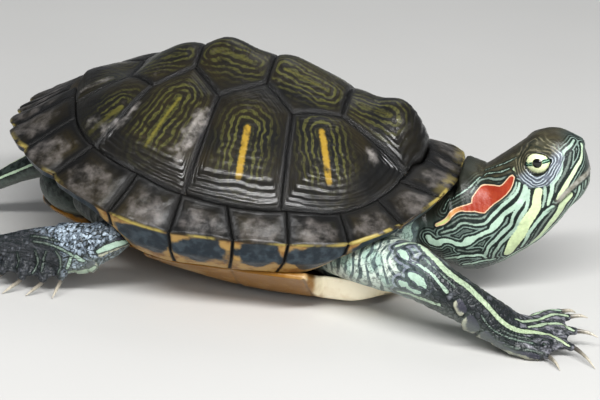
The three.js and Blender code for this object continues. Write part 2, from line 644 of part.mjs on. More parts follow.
const box = new THREE.Box3().setFromObject(turtle);
turtle.position.set(-(box.min.x + box.max.x) / 2, -(box.min.y + box.max.y) / 2, -box.min.z);
const group = new THREE.Group();
group.add(turtle);

export default group;
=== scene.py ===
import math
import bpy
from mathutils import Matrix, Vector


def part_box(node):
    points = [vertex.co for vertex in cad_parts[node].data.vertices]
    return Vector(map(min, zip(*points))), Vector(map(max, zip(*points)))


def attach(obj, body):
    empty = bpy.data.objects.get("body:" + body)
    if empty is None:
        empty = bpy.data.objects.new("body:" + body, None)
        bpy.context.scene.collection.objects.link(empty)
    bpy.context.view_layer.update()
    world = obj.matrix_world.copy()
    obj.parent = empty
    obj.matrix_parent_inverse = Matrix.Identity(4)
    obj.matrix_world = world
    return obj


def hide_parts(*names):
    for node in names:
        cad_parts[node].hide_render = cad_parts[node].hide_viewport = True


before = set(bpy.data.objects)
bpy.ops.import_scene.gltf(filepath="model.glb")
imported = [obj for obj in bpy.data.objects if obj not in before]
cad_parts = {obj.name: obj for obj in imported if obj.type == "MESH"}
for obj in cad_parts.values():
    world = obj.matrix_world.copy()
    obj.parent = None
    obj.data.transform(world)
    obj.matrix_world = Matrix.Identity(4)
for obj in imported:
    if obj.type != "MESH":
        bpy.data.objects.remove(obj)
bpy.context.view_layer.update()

# The looks of a life-size red-eared slider turtle: shell plates, eyes, claws, and one skin with scales, folds
# and stripes. Shapes are laid out in body millimetres: +X towards the head, +Y to the animal's left, +Z up
# from the floor, with the origin under the shell's middle. to_frame() moves them into the frame's metres.

from types import SimpleNamespace

import bpy
import numpy as np
from mathutils import Matrix, Vector
from mathutils.bvhtree import BVHTree

MM = 0.001

# -----------------------------------------------------------------------------
# Driving dimensions, in millimetres
# -----------------------------------------------------------------------------

SHELL_FRONT_X = 51.3
SHELL_REAR_X = -53.8
SHELL_MID_X = -4.0
SHELL_HALF_WIDTH = 40.6
SHELL_APEX_Z = 49.6
SHELL_SIDE_RIM_Z = 21.3
SHELL_FRONT_RIM_RISE = 7.3
SHELL_REAR_RIM_RISE = 9.2
SHELL_WALL = 2.75
FRONT_SQUARENESS = 2.5
REAR_SQUARENESS = 2.2
KEEL_WIDTH = 5.5

HEAD_PITCH = math.radians(37)
HEAD_BACK = np.array([62.0, 0.0, 22.5])
EYE_CENTRE = np.array([13.3, 4.6, 6.2])     # in the head's own frame, on the left side
EYE_RADIUS = 3.3
EYE_OPENING = 2.62
EYE_LEVELLING = math.radians(19)            # the eyes turn in the head so that their dark bars stay level
HEAD_SQUARENESS = 2.35
NECK_SQUARENESS = 2.2

# The photo: its size, and the camera that took it, aimed over the middle of the shell.
PHOTO_SIZE = (600, 400)
PHOTO_AIM_PIXEL = (240.17, 178.68)          # where the aim point falls
PHOTO_FOCAL_PIXELS = 2317.0
CAMERA_AIM = np.array([0.0, 0.0, 20.0])
CAMERA_DISTANCE = 539.8
CAMERA_AZIMUTH = math.radians(12)
CAMERA_ELEVATION = math.radians(21)
CAMERA_ROLL = math.radians(3)
SENSOR_WIDTH = 36.0

shell_low, shell_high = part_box("carapace")
SHIFT = np.array([shell_high.x / MM - SHELL_FRONT_X, (shell_low.y + shell_high.y) / 2 / MM, 0.0])


def to_frame(points):
    return (np.asarray(points, float) + SHIFT) * MM


# -----------------------------------------------------------------------------
# Number helpers
# -----------------------------------------------------------------------------

def smooth(low, high, value):
    t = np.clip((value - low) / (high - low), 0, 1)
    return t * t * (3 - 2 * t)


def bump(value, centre, width):
    return np.exp(-(((value - centre) / width) ** 2))


def lerp(a, b, t):
    return a + (b - a) * t


def unit(v):
    return v / np.maximum(np.linalg.norm(v, axis=-1, keepdims=True), 1e-9)


def along(table, place):
    """A value read along a list of (place, value) pairs, eased between them."""
    xs, ys = np.array(table, float).T
    place = np.clip(np.asarray(place, float), xs[0], xs[-1])
    k = np.clip(np.searchsorted(xs, place, side="left"), 1, len(xs) - 1)
    slopes = np.empty(len(xs))
    slopes[1:-1] = (ys[2:] - ys[:-2]) / (xs[2:] - xs[:-2])
    slopes[0] = (ys[1] - ys[0]) / (xs[1] - xs[0])
    slopes[-1] = (ys[-1] - ys[-2]) / (xs[-1] - xs[-2])
    span = xs[k] - xs[k - 1]
    t = (place - xs[k - 1]) / span
    return (ys[k - 1] * (1 + 2 * t) * (1 - t) ** 2 + slopes[k - 1] * span * t * (1 - t) ** 2
            + ys[k] * t * t * (3 - 2 * t) + slopes[k] * span * t * t * (t - 1))


LATTICE_SIZE = 32
LATTICE = np.random.default_rng(11).random((LATTICE_SIZE,) * 3)
CELL_SEEDS = np.random.default_rng(23).random((LATTICE_SIZE,) * 3 + (4,))
SEED_STEP = 7.31                            # moves the noise of the next seed aside


def noise(points, size, seed=0):
    """Smooth value noise from -1 to 1, with features of the given size."""
    p = np.asarray(points, float) / size + seed * SEED_STEP
    i = np.floor(p).astype(int)
    f = p - i
    f = f * f * (3 - 2 * f)
    total = np.zeros(p.shape[:-1])
    for dx in (0, 1):
        for dy in (0, 1):
            for dz in (0, 1):
                weight = (np.where(dx, f[..., 0], 1 - f[..., 0]) * np.where(dy, f[..., 1], 1 - f[..., 1])
                          * np.where(dz, f[..., 2], 1 - f[..., 2]))
                corner = (i + (dx, dy, dz)) % LATTICE_SIZE
                total += weight * LATTICE[corner[..., 0], corner[..., 1], corner[..., 2]]
    return total * 2 - 1


def fractal(points, size, seed=0, octaves=3):
    return sum(noise(points, size / 2 ** k, seed + k) / 2 ** k for k in range(octaves))


def cells(points, size):
    """Voronoi cells: distance to the cell's border in cell sizes, and a random value per cell."""
    p = np.asarray(points, float) / np.asarray(size, float)
    base = np.floor(p).astype(int)
    first = np.full(len(p), 9.0)
    second = np.full(len(p), 9.0)
    tone = np.zeros(len(p))
    for dx in (-1, 0, 1):
        for dy in (-1, 0, 1):
            for dz in (-1, 0, 1):
                cell = base + (dx, dy, dz)
                seed = CELL_SEEDS[tuple((cell % LATTICE_SIZE).T)]
                d = np.linalg.norm(cell + 0.12 + 0.76 * seed[:, :3] - p, axis=1)
                nearer = d < first
                second = np.where(nearer, first, np.minimum(second, d))
                tone = np.where(nearer, seed[:, 3], tone)
                first = np.where(nearer, d, first)
    return second - first, tone


# -----------------------------------------------------------------------------
# Mesh helpers
# -----------------------------------------------------------------------------

class Body:
    """A closed mesh in body millimetres, with named values at its points."""

    def __init__(self, points, quads, triangles, fields=None):
        self.points = np.asarray(points, float)
        self.quads = np.asarray(quads, int).reshape(-1, 4)
        self.triangles = np.asarray(triangles, int).reshape(-1, 3)
        self.fields = fields or {}

    def all_triangles(self):
        return np.concatenate([self.triangles, self.quads[:, [0, 1, 2]], self.quads[:, [0, 2, 3]]])

    def face_out(self):
        a, b, c = (self.points[self.all_triangles()[:, k]] for k in range(3))
        if np.einsum("ij,ij->", a, np.cross(b, c)) < 0:
            self.quads = self.quads[:, ::-1]
            self.triangles = self.triangles[:, ::-1]
        return self


def merged(bodies):
    starts = np.cumsum([0] + [len(b.points) for b in bodies[:-1]])
    names = bodies[0].fields
    return Body(np.concatenate([b.points for b in bodies]),
                np.concatenate([b.quads + s for b, s in zip(bodies, starts)]),
                np.concatenate([b.triangles + s for b, s in zip(bodies, starts)]),
                {name: np.concatenate([b.fields[name] for b in bodies]) for name in names})


def loft(rings, fields=None):
    """One closed body from rings of points (rings, sides, 3), closed by a fan at each end."""
    rings = np.asarray(rings, float)
    count, sides = rings.shape[:2]
    points = np.concatenate([rings.reshape(-1, 3), [rings[0].mean(0)], [rings[-1].mean(0)]])
    r, i = np.meshgrid(np.arange(count - 1), np.arange(sides), indexing="ij")
    a = (r * sides + i).ravel()
    b = (r * sides + (i + 1) % sides).ravel()
    quads = np.stack([a, b, b + sides, a + sides], 1)
    i = np.arange(sides)
    j = (i + 1) % sides
    first, last, start = count * sides, count * sides + 1, (count - 1) * sides
    fans = np.concatenate([np.stack([np.full(sides, first), j, i], 1),
                           np.stack([np.full(sides, last), start + i, start + j], 1)])
    values = {name: np.concatenate([v.reshape(-1), [v[0].mean()], [v[-1].mean()]])
              for name, v in (fields or {}).items()}
    return Body(points, quads, fans, values).face_out()


def mesh_object(name, body):
    mesh = bpy.data.meshes.new(name)
    mesh.vertices.add(len(body.points))
    mesh.vertices.foreach_set("co", to_frame(body.points).astype(np.float32).ravel())
    corners = np.concatenate([body.quads.ravel(), body.triangles.ravel()])
    mesh.loops.add(len(corners))
    mesh.loops.foreach_set("vertex_index", corners.astype(np.int32))
    triangle_starts = body.quads.size + np.arange(len(body.triangles)) * 3
    starts = np.concatenate([np.arange(len(body.quads)) * 4, triangle_starts])
    mesh.polygons.add(len(starts))
    mesh.polygons.foreach_set("loop_start", starts.astype(np.int32))
    mesh.polygons.foreach_set("use_smooth", np.ones(len(starts), bool))
    mesh.update(calc_edges=True)
    for field, values in body.fields.items():
        layer = mesh.attributes.new(field, "FLOAT", "POINT")
        layer.data.foreach_set("value", values.astype(np.float32))
    obj = bpy.data.objects.new(name, mesh)
    bpy.context.scene.collection.objects.link(obj)
    return obj


def finished(name, body, material, slot, *nodes):
    """A piece on the root body, with its material, standing for the named CAD nodes; the slot argument is not
    used.
    """
    obj = mesh_object(name, body)
    obj.data.materials.append(material)
    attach(obj, "root")
    if nodes:
        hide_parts(*nodes)
    return obj


def read_body(obj):
    """The mesh of an object, after its modifiers, as a Body in body millimetres."""
    evaluated = obj.evaluated_get(bpy.context.evaluated_depsgraph_get())
    mesh = evaluated.to_mesh()
    points = np.empty(len(mesh.vertices) * 3, np.float32)
    mesh.vertices.foreach_get("co", points)
    sizes = np.empty(len(mesh.polygons), np.int32)
    mesh.polygons.foreach_get("loop_total", sizes)
    loops = np.empty(len(mesh.loops), np.int32)
    mesh.loops.foreach_get("vertex_index", loops)
    starts = np.cumsum(sizes) - sizes
    quads = loops[starts[sizes == 4][:, None] + np.arange(4)]
    triangles = loops[starts[sizes == 3][:, None] + np.arange(3)]
    evaluated.to_mesh_clear()
    return Body(points.reshape(-1, 3) / MM - SHIFT, quads, triangles)


def grid_normals(grid, up_hint):
    """Outward normals of a grid of points (rows, columns, 3), facing the way of the hint."""
    along_rows = np.gradient(grid, axis=0)
    along_columns = np.gradient(grid, axis=1)
    normal = unit(np.cross(along_rows, along_columns))
    return normal * np.sign((normal * up_hint).sum(-1, keepdims=True) + 1e-9)


def body_normals(body):
    triangles = body.all_triangles()
    a, b, c = (body.points[triangles[:, k]] for k in range(3))
    face = np.cross(b - a, c - a)
    total = np.zeros_like(body.points)
    for k in range(3):
        for axis in range(3):
            total[:, axis] += np.bincount(triangles[:, k], face[:, axis], len(total))
    return unit(total)


PUSH_BACK = 0.9                             # the outward share of a pair of smoothing rounds


def relaxed(body, rounds, weight):
    """Laplacian smoothing with a weight per point; every second round pushes out and so saves the volume."""
    sides = [body.quads[:, [k, (k + 1) % 4]] for k in range(4)]
    sides += [body.triangles[:, [k, (k + 1) % 3]] for k in range(3)]
    start, end = np.concatenate(sides).T
    count = len(body.points)
    degree = np.maximum(np.bincount(start, minlength=count), 1)[:, None]
    for turn in range(rounds):
        totals = [np.bincount(start, body.points[end, axis], count) for axis in range(3)]
        step = np.stack(totals, 1) / degree - body.points
        push = weight if turn % 2 == 0 else -PUSH_BACK * weight
        body.points = body.points + step * push[:, None]
    return body


# -----------------------------------------------------------------------------
# The shell's shape, the same as the solid carapace's
# -----------------------------------------------------------------------------

def shell_gauge(x, y):
    """0 at the middle of the shell, 1 on its edge."""
    front = x >= SHELL_MID_X
    reach = np.where(front, SHELL_FRONT_X - SHELL_MID_X, SHELL_MID_X - SHELL_REAR_X)
    power = np.where(front, FRONT_SQUARENESS, REAR_SQUARENESS)
    lengthwise = (np.abs(x - SHELL_MID_X) / reach) ** power
    crosswise = (np.abs(y) / SHELL_HALF_WIDTH) ** power
    return (lengthwise + crosswise) ** (1 / power)


def bearing(x, y):
    return np.degrees(np.arctan2(np.abs(y), x - SHELL_MID_X))


def rim_height(angle):
    return (SHELL_SIDE_RIM_Z + SHELL_FRONT_RIM_RISE * (1 - smooth(10, 48, angle))
            + SHELL_REAR_RIM_RISE * smooth(92, 160, angle))


# Knobs of the keel: where, how high and how long each is.
KEEL_KNOBS = [(38.5, 6.2, 6.5), (10, 1.4, 6), (-4, 3.0, 5.5), (-14, 1.6, 5), (-27, -2.6, 5), (-44, 2.4, 7)]
KEEL_RIDGE = 0.8
KEEL_MID_X = -2


def keel_height(x, y):
    ridge = KEEL_RIDGE * (1 - smooth(36, 44, np.abs(x - KEEL_MID_X)))
    knobs = sum(height * bump(x, at, length) for at, height, length in KEEL_KNOBS)
    return ridge * bump(y, 0, KEEL_WIDTH) + knobs * bump(y, 0, KEEL_WIDTH * 1.2)


# The shelf, where the dome ends and the edge plates begin: its gauge, and its height over the rim.
SHELF_GAUGE = 0.86
SHELF_SHOULDER_IN = 0.06
SHELF_REAR_IN = 0.02
SHELF_RISE = 6.6
SHELF_FRONT_DROP = 3.4
SHELF_REAR_DROP = 2.0
DOME_POWER = 1.82                           # how round the dome is at the sides and the rear
DOME_FRONT_POWER = 0.5                      # added at the front


def shelf_gauge(angle):
    shoulder = SHELF_SHOULDER_IN * smooth(4, 22, angle) * (1 - smooth(20, 60, angle))
    return SHELF_GAUGE - shoulder - SHELF_REAR_IN * smooth(100, 150, angle)


def shelf_height(angle):
    front = SHELF_FRONT_DROP * (1 - smooth(20, 60, angle))
    return rim_height(angle) + SHELF_RISE - front - SHELF_REAR_DROP * smooth(100, 150, angle)


def shell_top(x, y):
    gauge = shell_gauge(x, y)
    angle = bearing(x, y)
    shelf = shelf_gauge(angle)
    shelf_z = shelf_height(angle)
    power = DOME_POWER + DOME_FRONT_POWER * (1 - smooth(20, 60, angle))
    rise = (SHELL_APEX_Z - shelf_z) * (1 - np.minimum(gauge / shelf, 1) ** power)
    dome = shelf_z + rise + keel_height(x, y)
    slope = lerp(shelf_z, rim_height(angle), (gauge - shelf) / (1 - shelf))
    return np.where(gauge >= shelf, slope, dome)


def bridging(angle):
    """How far a bearing lies on the bridge, where the marginals turn down to meet the plastron."""
    return smooth(36, 52, angle) * (1 - smooth(106, 122, angle))


REAR_NOTCHES = (135, 150, 165, 175)
NOTCH_DEPTH = 1.1
NOTCH_WIDTH = 2.0
SHELL_REACH = 45.0                          # about how far the rim lies from the shell's middle


def level_points(turn, level):
    """Plan points at a signed bearing in degrees and a level of the gauge."""
    c, s = np.cos(np.radians(turn)), np.sin(np.radians(turn))
    reach = level / shell_gauge(SHELL_MID_X + c, s)
    return SHELL_MID_X + c * reach, s * reach


# -----------------------------------------------------------------------------
# Scutes of the dome
# -----------------------------------------------------------------------------

SEAM_DEPTH = 0.42
SEAM_WIDTH = 0.36
VALLEY_DEPTH = 0.22                         # the broad valley a seam lies in
VALLEY_WIDTH = 1.8
# Gauge of the seam between the dome's scutes and the marginals, by bearing in degrees.
DOME_SEAM = [(0, 0.835), (20, 0.832), (45, 0.858), (65, 0.878), (85, 0.860), (110, 0.822), (130, 0.800),
             (142, 0.775), (158, 0.715), (180, 0.690)]
SCUTE_REACH = 13.0                          # a scute's usual reach from its areola
SCUTE_STEP = 0.42                           # spacing of the mesh's columns on the outline
SCUTE_ROW_STEP = 0.3                        # spacing of its rows from the areola outwards
SKIRT = 1.0                                 # how deep a plate's edge runs into its seam
RING_COUNT = 13                             # growth rings of a scute
RING_PEAK = 0.72                            # where a ring is highest, as a share of its width
RING_STRENGTHS = (0.45, 1.25)               # the rings differ between these
RING_DEPTHS = (0.06, 0.34)                  # on the open plate, and near its border
WIDEST_RING = 1.5
PILLOW = 0.42                               # how far a scute swells between its seams
SCUTE_GRAIN = 0.035
AREOLA_GRAIN = 0.05

# Corners in plan as (x, |y|), from the keel outwards. The shelf above the marginals closes the outer side.
CORNER_A = (38.0, 11.6)
CORNER_B = (24.6, 9.6)
CORNER_C = (14.2, 14.8)
CORNER_D = (6.7, 8.9)
CORNER_E = (-2.7, 14.6)
CORNER_F = (-10.2, 7.5)
CORNER_G = (-18.5, 13.0)
CORNER_H = (-25.7, 6.5)
SHELF_AB = (45.0, 13.0)                     # outer ends of the seams, just past the shelf
SHELF_C = (17.0, 38.0)
SHELF_E = (-5.5, 39.0)
SHELF_G = (-30.2, 32.0)
SHELF_H = (-43.0, 18.4)
# Right-hand outlines of the second to fourth vertebrals; the first and last end at the seam round the dome.
VERTEBRAL_OUTLINES = [
    [CORNER_B, CORNER_C, CORNER_D],
    [CORNER_D, CORNER_E, CORNER_F],
    [CORNER_F, CORNER_G, CORNER_H],
]
VERTEBRAL_AREOLAE = [29.5, 12.6, -5.0, -20.0, -33.5]
COSTAL_OUTLINES = [
    [SHELF_AB, CORNER_A, CORNER_B, CORNER_C, SHELF_C],
    [SHELF_C, CORNER_C, CORNER_D, CORNER_E, SHELF_E],
    [SHELF_E, CORNER_E, CORNER_F, CORNER_G, SHELF_G],
    [SHELF_G, CORNER_G, CORNER_H, SHELF_H],
]
COSTAL_AREOLAE = [(23.8, 18.0), (5.2, 18.6), (-11.4, 17.6), (-25.8, 15.8)]
# The pale bar of each costal, from its upper to its lower end, with its half-width and strength.
COSTAL_BARS = [
    ((21.4, 16.4), (25.0, 24.4), 0.75, 1.0),
    ((5.6, 21.4), (6.1, 30.4), 0.75, 1.0),
    ((-11.1, 17.1), (-15.8, 27.6), 0.42, 0.45),
    ((-24.0, 19.0), (-29.5, 24.0), 0.6, 0.25),
]
VERTEBRAL_BARS = [
    ((35.0, 4.6), (26.5, 4.2), 0.2, 0.25),
    ((20.0, 5.4), (10.0, 4.8), 0.2, 0.35),
    ((3.0, 4.6), (-7.0, 4.0), 0.2, 0.22),
    ((-13.0, 4.2), (-23.0, 4.0), 0.2, 0.2),
    ((-37.3, 9.0), (-30.3, 5.4), 0.2, 0.12),
]


# Pale worn streaks and spots: a path in plan, with its half-width.
WORN_STREAKS = [
    ([(-5.0, 20.0), (-7.0, 25.0), (-8.2, 28.0)], 1.1),
    ([(-30.3, 21.3), (-26.0, 23.5), (-22.0, 21.5), (-20.4, 18.2)], 0.35),
    ([(-37.3, 10.0), (-30.3, 5.9)], 0.25),
    ([(32.2, 14.0), (32.6, 14.6)], 0.7),
]
FAR = 30.0                                  # stands for a seam or bar that is nowhere near


def segment_distance(x, y, a, b):
    a, b = np.array(a, float), np.array(b, float)
    span = b - a
    t = np.clip(((x - a[0]) * span[0] + (y - a[1]) * span[1]) / (span @ span), 0, 1)
    return np.hypot(x - a[0] - t * span[0], y - a[1] - t * span[1])


def path_distance(x, y, path):
    """Distance to a path of straight stretches."""
    return np.minimum.reduce([segment_distance(x, y, a, b) for a, b in zip(path, path[1:])])


def line_distance(x, y, a, b):
    """Distance to the endless line through two points."""
    a, b = np.array(a, float), np.array(b, float)
    normal = np.array([b[1] - a[1], a[0] - b[0]]) / np.hypot(*(b - a))
    return np.abs((x - a[0]) * normal[0] + (y - a[1]) * normal[1])


def saw_ridge(phase, peak):
    """One ridge per unit of phase, from -0.5 to 0.5: it climbs slowly to its peak and falls off fast."""
    fraction = phase - np.floor(phase)
    ridge = np.where(fraction < peak, fraction / peak, (1 - fraction) / (1 - peak))
    return smooth(0, 1, ridge) - 0.5


# What the plates' material reads where a plate has nothing of the kind.
PLAIN_PLATE = {"bar": FAR, "mark": 0.0, "worn": 9.0, "gold": 0.0, "under": 0.0, "blotch": 9.0}


def plate_fields(shape, **values):
    """All the values that the plates' material reads, with plain ones for those not given."""
    return {name: np.broadcast_to(value, shape) for name, value in (PLAIN_PLATE | values).items()}


def dome_seam(angle):
    return lerp(shelf_gauge(angle) - 0.002, along(DOME_SEAM, angle), smooth(7, 13, angle))


LONGEST_REACH = 70.0
HALVINGS = 28                               # of the reach, until it is exact


def seam_reach(centre, directions):
    """Distance from a plan point to the seam round the dome, along each direction."""
    near, far = np.zeros(len(directions)), np.full(len(directions), LONGEST_REACH)
    for _ in range(HALVINGS):
        middle = (near + far) / 2
        x = centre[0] + directions[:, 0] * middle
        y = centre[1] + directions[:, 1] * middle
        inside = shell_gauge(x, y) < dome_seam(bearing(x, y))
        near = np.where(inside, middle, near)
        far = np.where(inside, far, middle)
    return near


def polar_outline(centre, seams):
    """Directions and reaches from an areola to the seams round it, with a column at each corner."""
    centre = np.array(centre, float)
    corners = sorted({math.atan2(p[1] - centre[1], p[0] - centre[0]) for seam in seams for p in seam})
    turns = []
    for start, end in zip(corners, corners[1:] + [corners[0] + 2 * math.pi]):
        count = max(2, int((end - start) * SCUTE_REACH / SCUTE_STEP))
        turns.append(np.linspace(start, end, count, endpoint=False))
    turns = np.concatenate(turns)
    directions = np.stack([np.cos(turns), np.sin(turns)], 1)
    reach = seam_reach(centre, directions)
    for a, b in seams:
        a, b = np.array(a, float), np.array(b, float)
        normal = unit(np.array([b[1] - a[1], a[0] - b[0]]))
        offset = (a - centre) @ normal
        if offset < 0:
            normal, offset = -normal, -offset
        facing = directions @ normal
        reach = np.where(facing > 1e-4, np.minimum(reach, offset / np.maximum(facing, 1e-4)), reach)
    return directions, reach


def growth_rings(grid, levels, reach, border, seed):
    """Phase of a scute's growth rings, counted from the areola, and their height."""
    wobble = noise(grid, 5.0, seed) * 0.3 + noise(grid, 1.6, seed + 3) * 0.14
    phase = levels * RING_COUNT + wobble + 0.35 * np.sin(levels * 9 + seed)
    strengths = np.random.default_rng(seed).uniform(*RING_STRENGTHS, RING_COUNT + 3)
    index = np.clip(np.floor(phase).astype(int), 0, RING_COUNT + 2)
    spacing = np.minimum(reach / RING_COUNT, WIDEST_RING)
    rings = saw_ridge(phase, RING_PEAK) * strengths[index] * spacing * smooth(0.24, 0.4, levels)
    rings *= lerp(*RING_DEPTHS, smooth(7.5, 3.5, border) * smooth(0.5, 0.75, levels))
    rings *= 0.5 + 0.5 * smooth(-0.5, 0.4, noise(grid, 7.0, seed + 9))
    return phase, rings


def scute_relief(grid, levels, rings, seam, seed):
    """A scute's height over the shell: its pillow, rings and grain, less the groove and valley at seams."""
    grain = AREOLA_GRAIN * noise(grid, 0.9, seed + 5) * (1 - smooth(0.2, 0.36, levels))
    sunk = SEAM_DEPTH * bump(seam, 0, SEAM_WIDTH) + VALLEY_DEPTH * bump(seam, 0, VALLEY_WIDTH)
    fine = SCUTE_GRAIN * noise(grid, 0.7, seed + 6)
    return PILLOW * (1 - levels ** 2.2) + rings - sunk + grain + fine


def scute_fields(x, y, seam, border, phase, bars, tone):
    bar = [segment_distance(x, y, a, b) - half_width for a, b, half_width, _ in bars]
    worn = [path_distance(x, np.abs(y), path) - half_width for path, half_width in WORN_STREAKS]
    dark = np.maximum(smooth(1.5, 0.3, seam), 0.65 * smooth(7.0, 4.5, border))
    return plate_fields(x.shape, seam=seam, ring=phase, bar=np.minimum.reduce(bar), mark=bars[0][3],
                        tone=tone, dark=dark, worn=np.minimum(np.minimum.reduce(worn), 9.0))


def scute(centre, seams, bars, tone, seed, mirror=1):
    """One plate of the dome, with growth rings about its areola, and its edge rolled down into its seams."""
    directions, reach = polar_outline(centre, seams)
    levels = np.linspace(0.012, 1, max(26, int(np.max(reach) / SCUTE_ROW_STEP)))[:, None]
    x = centre[0] + directions[:, 0] * reach * levels
    y = centre[1] + directions[:, 1] * reach * levels
    grid = np.stack([x, y, shell_top(x, y)], -1)
    ratio = dome_seam(bearing(x, y)) / np.maximum(shell_gauge(x, y), 1e-3)
    border = np.maximum(ratio - 1, 0) * np.hypot(x - SHELL_MID_X, y) * 1.15
    seam = np.minimum.reduce([line_distance(x, y, a, b) for a, b in seams] + [border])
    phase, rings = growth_rings(grid, levels, reach, border, seed)
    height = scute_relief(grid, levels, rings, seam, seed)
    grid = grid + grid_normals(grid, np.array([0, 0, 1.0])) * height[..., None]
    skirt = grid[-1:].copy()
    skirt[..., 2] -= SKIRT + keel_height(x[-1:], y[-1:])
    fields = scute_fields(x, y, seam, border, phase, bars, tone)
    fields = {name: np.concatenate([v, v[-1:]]) for name, v in fields.items()}
    return loft(np.concatenate([grid, skirt]) * [1, mirror, 1], fields)


def across_keel(a, b):
    """The seams of an end vertebral: from a to b, over the keel, and back out on the other side."""
    (ax, ay), (bx, by) = a, b
    return [(a, b), (b, (bx, -by)), ((bx, -by), (ax, -ay))]


def mirrored_seams(outline):
    """All the seams round a vertebral: its right-hand outline and its mirror image, joined at both ends."""
    chain = outline + [(x, -y) for x, y in reversed(outline)]
    return list(zip(chain, chain[1:] + chain[:1]))


VERTEBRAL_TONES = (0.45, 0.62, 0.5, 0.38, 0.5)
COSTAL_TONES = (0.4, 0.46, 0.6, 0.52)


def vertebrals():
    outlines = [across_keel(CORNER_A, CORNER_B)]
    outlines += [mirrored_seams(outline) for outline in VERTEBRAL_OUTLINES]
    outlines.append(across_keel(SHELF_H, CORNER_H))
    plates = []
    for k, seams in enumerate(outlines):
        (ax, ay), (bx, by), half_width, strength = VERTEBRAL_BARS[k]
        bars = [((ax, side * ay), (bx, side * by), half_width, strength) for side in (1, -1)]
        plates.append(scute((VERTEBRAL_AREOLAE[k], 0.0), seams, bars, VERTEBRAL_TONES[k], seed=40 + k))
    return merged(plates)


def costals(side):
    plates = []
    for k, outline in enumerate(COSTAL_OUTLINES):
        seams = list(zip(outline, outline[1:]))
        if k == 0:
            seams = seams[1:]
        seed = 60 + 7 * k + (side > 0)
        plates.append(scute(COSTAL_AREOLAE[k], seams, [COSTAL_BARS[k]], COSTAL_TONES[k], seed, mirror=side))
    return merged(plates)


# -----------------------------------------------------------------------------
# Marginal scutes
# -----------------------------------------------------------------------------

# Bearings of the seams between marginals, in degrees, where they meet the rim and where they meet the shelf.
RIM_SEAMS = [3.2, 16.6, 30.1, 43.4, 58.6, 73.9, 93.8, 113.6, 135, 150, 165, 175, 180]
DOME_SEAMS = [3.6, 19.0, 28.6, 40.8, 56.9, 76.0, 92.8, 111.0, 131.5, 148, 163.5, 174.5, 180]
# Under the rim: gauge and drop below it on the free rim, and on the bridge.
EDGE_FREE = [(0, 1.0, 0), (1, 0.985, 1.6), (2, 0.95, 2.3), (3, 0.9, 1.7)]
EDGE_BRIDGE = [(0, 1.0, 0), (1, 0.955, 5.2), (2, 0.865, 9.0), (3, 0.83, 7.2)]
MARGINAL_STEP = 0.4
TOP_ROWS = 26
UNDER_ROWS = 30


def edge_row(place, angle):
    """Gauge level and drop below the rim at a place 0..3 under the edge."""
    knots, levels, drops = np.array(EDGE_FREE, float).T
    _, bridge_levels, bridge_drops = np.array(EDGE_BRIDGE, float).T
    mix = bridging(angle)
    level = lerp(np.interp(place, knots, levels), np.interp(place, knots, bridge_levels), mix)
    drop = lerp(np.interp(place, knots, drops), np.interp(place, knots, bridge_drops), mix)
    return level, drop


def marginal_surface(shelf_span, rim_span, notches):
    """A marginal's points with their bearing and place: 0 at the shelf, 1 at the rim, 4 at the inner edge."""
    width = math.radians(abs(rim_span[1] - rim_span[0])) * SHELL_REACH
    u = np.linspace(0, 1, max(14, int(width / MARGINAL_STEP)))[:, None]
    w = np.linspace(0, 1, TOP_ROWS)[None, :]
    turn = lerp(lerp(*shelf_span, u), lerp(*rim_span, u), w)
    level = lerp(dome_seam(np.abs(turn)), 1.0, w)
    x, y = level_points(turn, level)
    z = shell_top(x, y) - keel_height(x, y) * (level < shelf_gauge(np.abs(turn)))
    under = np.linspace(0, 3, UNDER_ROWS)[None, 1:]
    rim_turn = np.broadcast_to(lerp(*rim_span, u), (len(u), UNDER_ROWS - 1))
    under_level, drop = edge_row(under, np.abs(rim_turn))
    ux, uy = level_points(rim_turn, under_level)
    uz = rim_height(np.abs(rim_turn)) - drop
    x, y, z = (np.concatenate(pair, 1) for pair in ((x, ux), (y, uy), (z, uz)))
    angle = np.abs(np.concatenate([turn, rim_turn], 1))
    place = np.concatenate([np.broadcast_to(w, turn.shape), 1 + np.broadcast_to(under, rim_turn.shape)], 1)
    notch = sum(bump(angle, at, NOTCH_WIDTH) for at in notches) * NOTCH_DEPTH * smooth(0.35, 1, place)
    keep = 1 - notch / np.hypot(x - SHELL_MID_X, y)
    return np.stack([SHELL_MID_X + (x - SHELL_MID_X) * keep, y * keep, z], -1), angle, place


def marginal_distances(grid, place):
    """Distances to the side seams, to the shelf and to the rim."""
    step = np.linalg.norm(np.diff(grid, axis=0), axis=-1)
    run = np.concatenate([np.zeros((1, step.shape[1])), np.cumsum(step, 0)])
    length = np.linalg.norm(grid[:, 0] - grid[:, TOP_ROWS - 1], axis=-1)[:, None]
    to_shelf = np.where(place <= 1, place * length, FAR)
    to_rim = np.where(place <= 1, (1 - place) * length, 0)
    return np.minimum(run, run[-1] - run), to_shelf, to_rim


EDGE_PILLOW = 0.40
EDGE_LINE_SPACING = 0.9
EDGE_LINE_HEIGHT = 0.055
EDGE_LINE_PEAK = 0.7
EDGE_GRAIN = 0.05
EDGE_UNEVENNESS = 0.14
RIM_BEAD = 0.16                             # how far the sharp rim stands out
GOLD_WIDTHS = (0.50, 0.17)                  # of the yellow rim, where it is free and on the bridge
# Middle and half-size of the worn patch and of the blotch underneath, across the plate and from shelf to rim.
WORN_PATCH = ((0.5, 0.66), (0.30, 0.34))
UNDER_BLOTCH = ((0.48, 1.7), (0.46, 0.85))


def oval(across, place, shape):
    """0 at the middle of an oval patch of a marginal, 1 on its edge."""
    (middle_across, middle_place), (half_across, half_place) = shape
    return np.hypot((across - middle_across) / half_across, (place - middle_place) / half_place)


